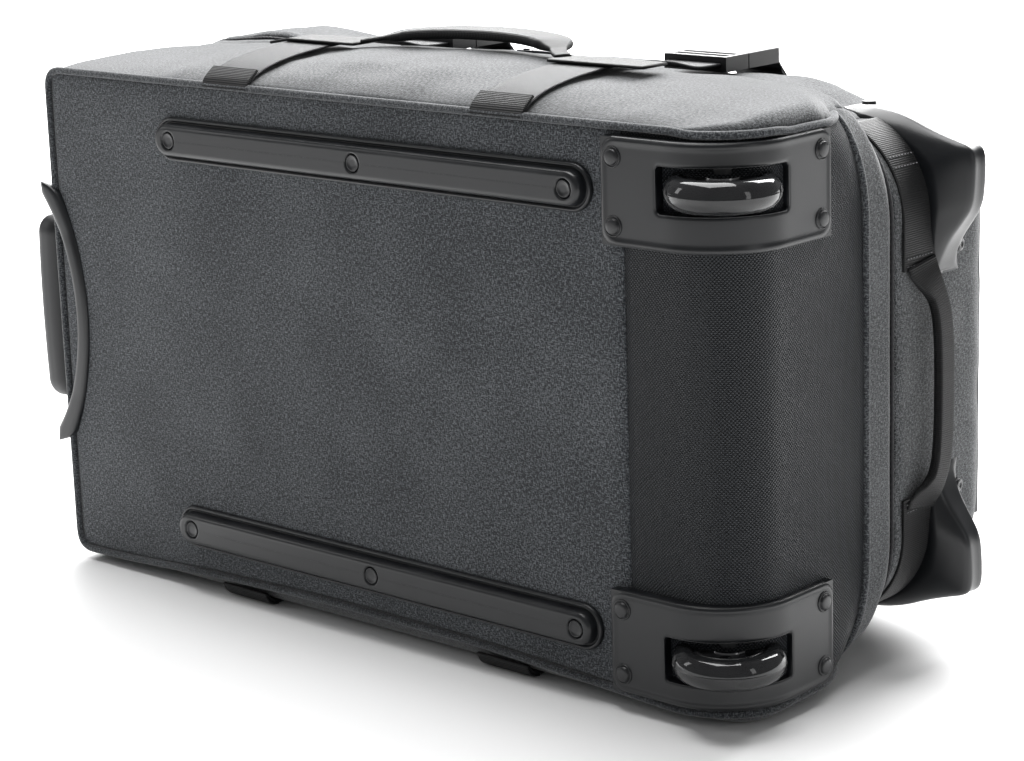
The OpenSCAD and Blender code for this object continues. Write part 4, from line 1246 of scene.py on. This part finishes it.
def carry_loop():
    """Side carry handle: webbing folded round a pad over the middle, narrow at both sewn ends"""
    knots = [(231, 89, 378.9), (238, 92, 380.2), (247, 99, 381.6), (258, 108, 383.0), (285, 113, 385.2),
             (322, 114, 386.6), (358, 114, 386.2), (386, 109, 384.4), (397, 100, 382.2), (405, 92,
                     380.3), (411, 89, 378.9)]
    path = smooth_line(knots, 110, 3)
    f = np.linspace(0, 1, 110)
    body_part = np.clip((f - 0.08) / 0.1, 0, 1) * np.clip((0.92 - f) / 0.1, 0, 1)
    wide = 0.42 + 0.58 * np.sin(body_part * math.pi / 2)
    tall = 0.42 + 0.58 * np.sin(body_part * math.pi / 2)
    section = rounded_rect(13.6, 3.4, 3.2, 6, 6)
    piece = swept_piece("carry_handle_pad", path, section, (0, 0, 1), "carry_handle", [TAPE_FOLD],
                        sizes=np.stack([wide, tall], 1))
    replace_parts(piece, "side_handle")
    seam = path[22:-22]
    stitches = []
    for k, off in enumerate((-10.4, 10.4)):
        line = seam + [0, off, 3.1]
        stitches.append(swept_piece("carry_handle_seam_%d" % k, line, circle(0.35, 6), (0, 0, 1),
                                    "carry_handle",
                                    [THREAD]))
    for k, (a, b) in enumerate(((152, 233), (409, 487))):
        x = np.linspace(a, b, 40)
        z = np.maximum(top_at(x, np.full(40, 88.0)) + 1.3, 377.9) - 3.0 * np.clip((170 - x) / 18, 0, 1)
        tape = ribbon("carry_handle_anchor_%d" % k, np.stack([x, np.full(40, 88.0), z], 1), (0, 1, 0), 25,
                      "case",
                      [TAPE_FOLD], thick=2.0)
        if k == 0:
            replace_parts(tape, "handle_anchors")
    return piece


def grab_loop():
    """Base grab handle: the webbing stands off the base and is rolled narrow over its middle"""
    knots = [(618.3, 186, 252), (620.5, 187, 245), (625.5, 190, 235), (629, 193, 222), (630.3, 194, 200),
             (630.5, 194, 172), (630.2, 194, 142), (629, 193, 120), (625.5, 190, 107), (620.5, 187,
                                                                                        99), (618.3, 186, 92)]
    path = smooth_line(knots, 120, 3)
    f = np.abs(np.linspace(-1, 1, 120))
    rolled = np.clip((0.93 - f) / 0.22, 0, 1) ** 0.8
    wide = 0.86 - 0.42 * rolled
    tall = 0.42 + 0.58 * rolled
    section = rounded_rect(17.5, 3.3, 3.0, 6, 6)
    piece = swept_piece("grab_handle_loop", path, section, (1, 0, 0), "grab_handle", [TAPE_FOLD],
                        sizes=np.stack([wide, tall], 1))
    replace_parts(piece, "base_handle")
    return piece


def base_tape():
    """The two lengths of webbing sewn flat on the base, either side of the grab handle"""
    made = []
    for side, high, stop in (("upper", True, 247.0), ("lower", False, 101.0)):
        pts = half_outline(186.0, high)
        keep = [k for k, p in enumerate(pts) if p[0] > 572 and (p[1] > stop if high else p[1] < stop)]
        line = resample(pts[keep[0]:keep[-1] + 1], 60)
        t = np.gradient(line, axis=0)
        t /= np.linalg.norm(t, axis=1)[:, None]
        n = np.stack([-t[:, 1], t[:, 0]], 1) if high else np.stack([t[:, 1], -t[:, 0]], 1)
        line = line + n * 1.0
        path = np.stack([line[:, 0], np.full(60, 186.0), line[:, 1]], 1)
        made.append(ribbon(side + "_base_tape", path, (0, 1, 0), 36, "case", [TAPE_FOLD], thick=2.2))
        z_end = stop + (4 if high else -4)
        for k in range(2):
            z = z_end + (5 * k if high else -5 * k)
            stitch_row("%s_base_tape_stitch_%d" % (side, k), (618.4, 170, z), (618.4, 202, z), (1, 0, 0),
                       "case")
            z = (318 - 6 * k) if high else 37 + 6 * k
            x = float(np.interp(z, path[:, 2][::-1] if high else path[:, 2],
                                path[:, 0][::-1] if high else path[:, 0]))
            stitch_row("%s_base_tape_top_stitch_%d" % (side, k), (x + 1.3, 170, z + 0.6),
                       (x + 1.3, 202, z + 0.6),
                       (1, 0, 0), "case")
    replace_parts(made[0], "base_webbing")
    return made


THREAD = woven_black("thread_finish", WEBBING, (0.10, 0.10, 0.11), (0.22, 0.22, 0.23), 0.6, 0.1, 0.2,
                     by_uv=False,
                     Rib_pitch=0.0008)
straps = []
for k in range(2):
    straps += long_strap("upper", k, UPPER_STRAP_X[k])
    straps += long_strap("lower", k, LOWER_STRAP_X[k])
    wedge_tail("upper", k, UPPER_STRAP_X[k])
    wedge_tail("lower", k, LOWER_STRAP_X[k])
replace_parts(straps[0], "compression_straps")
carry_loop()
grab_loop()
base_tape()


# ---------------------------------------------------------------- finishes of the carried-over parts
CARRIED = {
    "back_board": (BOARD, 0), "base_board": (BOARD, 0), "tube_cover": (LINING_SOLID, 0),
    "upper_housing": (NYLON, 0.4), "lower_housing": (NYLON, 0.4), "wheel_axles": (BRIGHT_STEEL, 0.3),
    "foot_screws": (RIVET_NYLON, 0.3), "handle_cup": (NYLON, 0.6), "outer_tubes": (ALUMINIUM, 0),
    "middle_tubes": (ALUMINIUM, 0), "inner_tubes": (ALUMINIUM, 0), "tube_base": (NYLON, 0.6),
    "frame_zip": (ZIP_CLOTH, 0), "buckle_sockets": (BUCKLE_NYLON, 1.2), "release_button": (RIVET_NYLON, 0.6),
    "release_rods": (BRIGHT_STEEL, 0), "upper_hub": (HUB_NYLON, 0.4), "lower_hub": (HUB_NYLON, 0.4),
    "upper_bearings": (BRIGHT_STEEL, 0.2), "lower_bearings": (BRIGHT_STEEL, 0.2),
    "divider_slider": (DARK_METAL, 0.6), "divider_pull": (DARK_METAL, 0.5),
    "flap_slider_a": (DARK_METAL, 0.6), "flap_slider_b": (DARK_METAL, 0.6),
    "flap_pull_a": (DARK_METAL, 0.5), "flap_pull_b": (DARK_METAL, 0.5),
    "upper_plug_a": (BUCKLE_NYLON, 1.2), "upper_plug_b": (BUCKLE_NYLON, 1.2),
    "lower_plug_a": (BUCKLE_NYLON, 1.2), "lower_plug_b": (BUCKLE_NYLON, 1.2),
}
for node, (finish, rounding) in CARRIED.items():
    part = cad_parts[node]
    for holder in part.material_slots:
        holder.material = finish
    if rounding:
        mod = part.modifiers.new("edge_round", "BEVEL")
        mod.width = rounding * MM
        mod.segments = 3
        mod.limit_method = "ANGLE"
        mod.angle_limit = math.radians(40)

# ---------------------------------------------------------------- floor, light, camera
def studio():
    world = bpy.data.worlds.new("studio")
    world.use_nodes = True
    world.node_tree.nodes["Background"].inputs["Color"].default_value = (1, 1, 1, 1)
    world.node_tree.nodes["Background"].inputs["Strength"].default_value = 0.24
    bpy.context.scene.world = world
    bpy.context.scene.view_settings.view_transform = "Standard"
    floor_mesh = bpy.data.meshes.new("floor")
    level = spot(0, 0, FLOOR_Z - 0.3).z
    floor_mesh.from_pydata([(-12, -12, level), (12, -12, level), (12, 12, level), (-12, 12, level)], [],
                           [(0, 1, 2, 3)])
    floor = bpy.data.objects.new("floor", floor_mesh)
    bpy.context.scene.collection.objects.link(floor)
    paper, tree, shader, coords = new_material("paper_floor")
    cloud = noise_at(tree, coords.outputs["Object"], 3.0, 2.0)
    tree.links.new(blend_colour(tree, cloud, (0.90, 0.90, 0.90), (0.92, 0.92, 0.92)),
                   shader.inputs["Base Color"])
    shader.inputs["Roughness"].default_value = 0.7
    shader.inputs["Specular IOR Level"].default_value = 0.2
    floor_mesh.materials.append(paper)


def area_light(name, where, target, size, power):
    data = bpy.data.lights.new(name, "AREA")
    data.shape = "RECTANGLE"
    data.size, data.size_y = size
    data.energy = power
    lamp = bpy.data.objects.new(name, data)
    lamp.location = where
    lamp.rotation_euler = (Vector(target) - Vector(where)).to_track_quat("-Z", "Y").to_euler()
    bpy.context.scene.collection.objects.link(lamp)
    return lamp


def camera():
    azimuth, elevation, roll = (math.radians(a) for a in (42.46, 13.85, -1.89))
    back = Vector((math.sin(azimuth) * math.cos(elevation), -math.cos(azimuth) * math.cos(elevation),
                   math.sin(elevation)))
    right = (-back).cross(Vector((0, 0, 1))).normalized()
    up = right.cross(-back)
    right2 = right * math.cos(roll) + up * math.sin(roll)
    up2 = up * math.cos(roll) - right * math.sin(roll)
    data = bpy.data.cameras.new("camera")
    data.sensor_width = 36
    data.lens = 96.57
    data.clip_start = 0.05
    data.clip_end = 60
    eye = bpy.data.objects.new("camera", data)
    turn = Matrix((right2, up2, back)).transposed().to_4x4()
    eye.matrix_world = Matrix.Translation(spot(1562.85, -1228.27, 598.8)) @ turn
    bpy.context.scene.collection.objects.link(eye)
    bpy.context.scene.camera = eye


studio()
area_light("overhead", (-0.5, 0.2, 2.3), (-0.2, 0, 0.2), (1.4, 2.4), 84)
area_light("backdrop", (-2.6, 4.4, 3.2), (-2.6, 4.0, 0), (7, 4), 1500)
area_light("window_side", (-2.2, -1.4, 1.3), (0, 0, 0.2), (0.5, 1.2), 6)
area_light("base_side", (2.6, -0.2, 1.0), (0.2, 0, 0.2), (0.4, 1.2), 3)
camera()
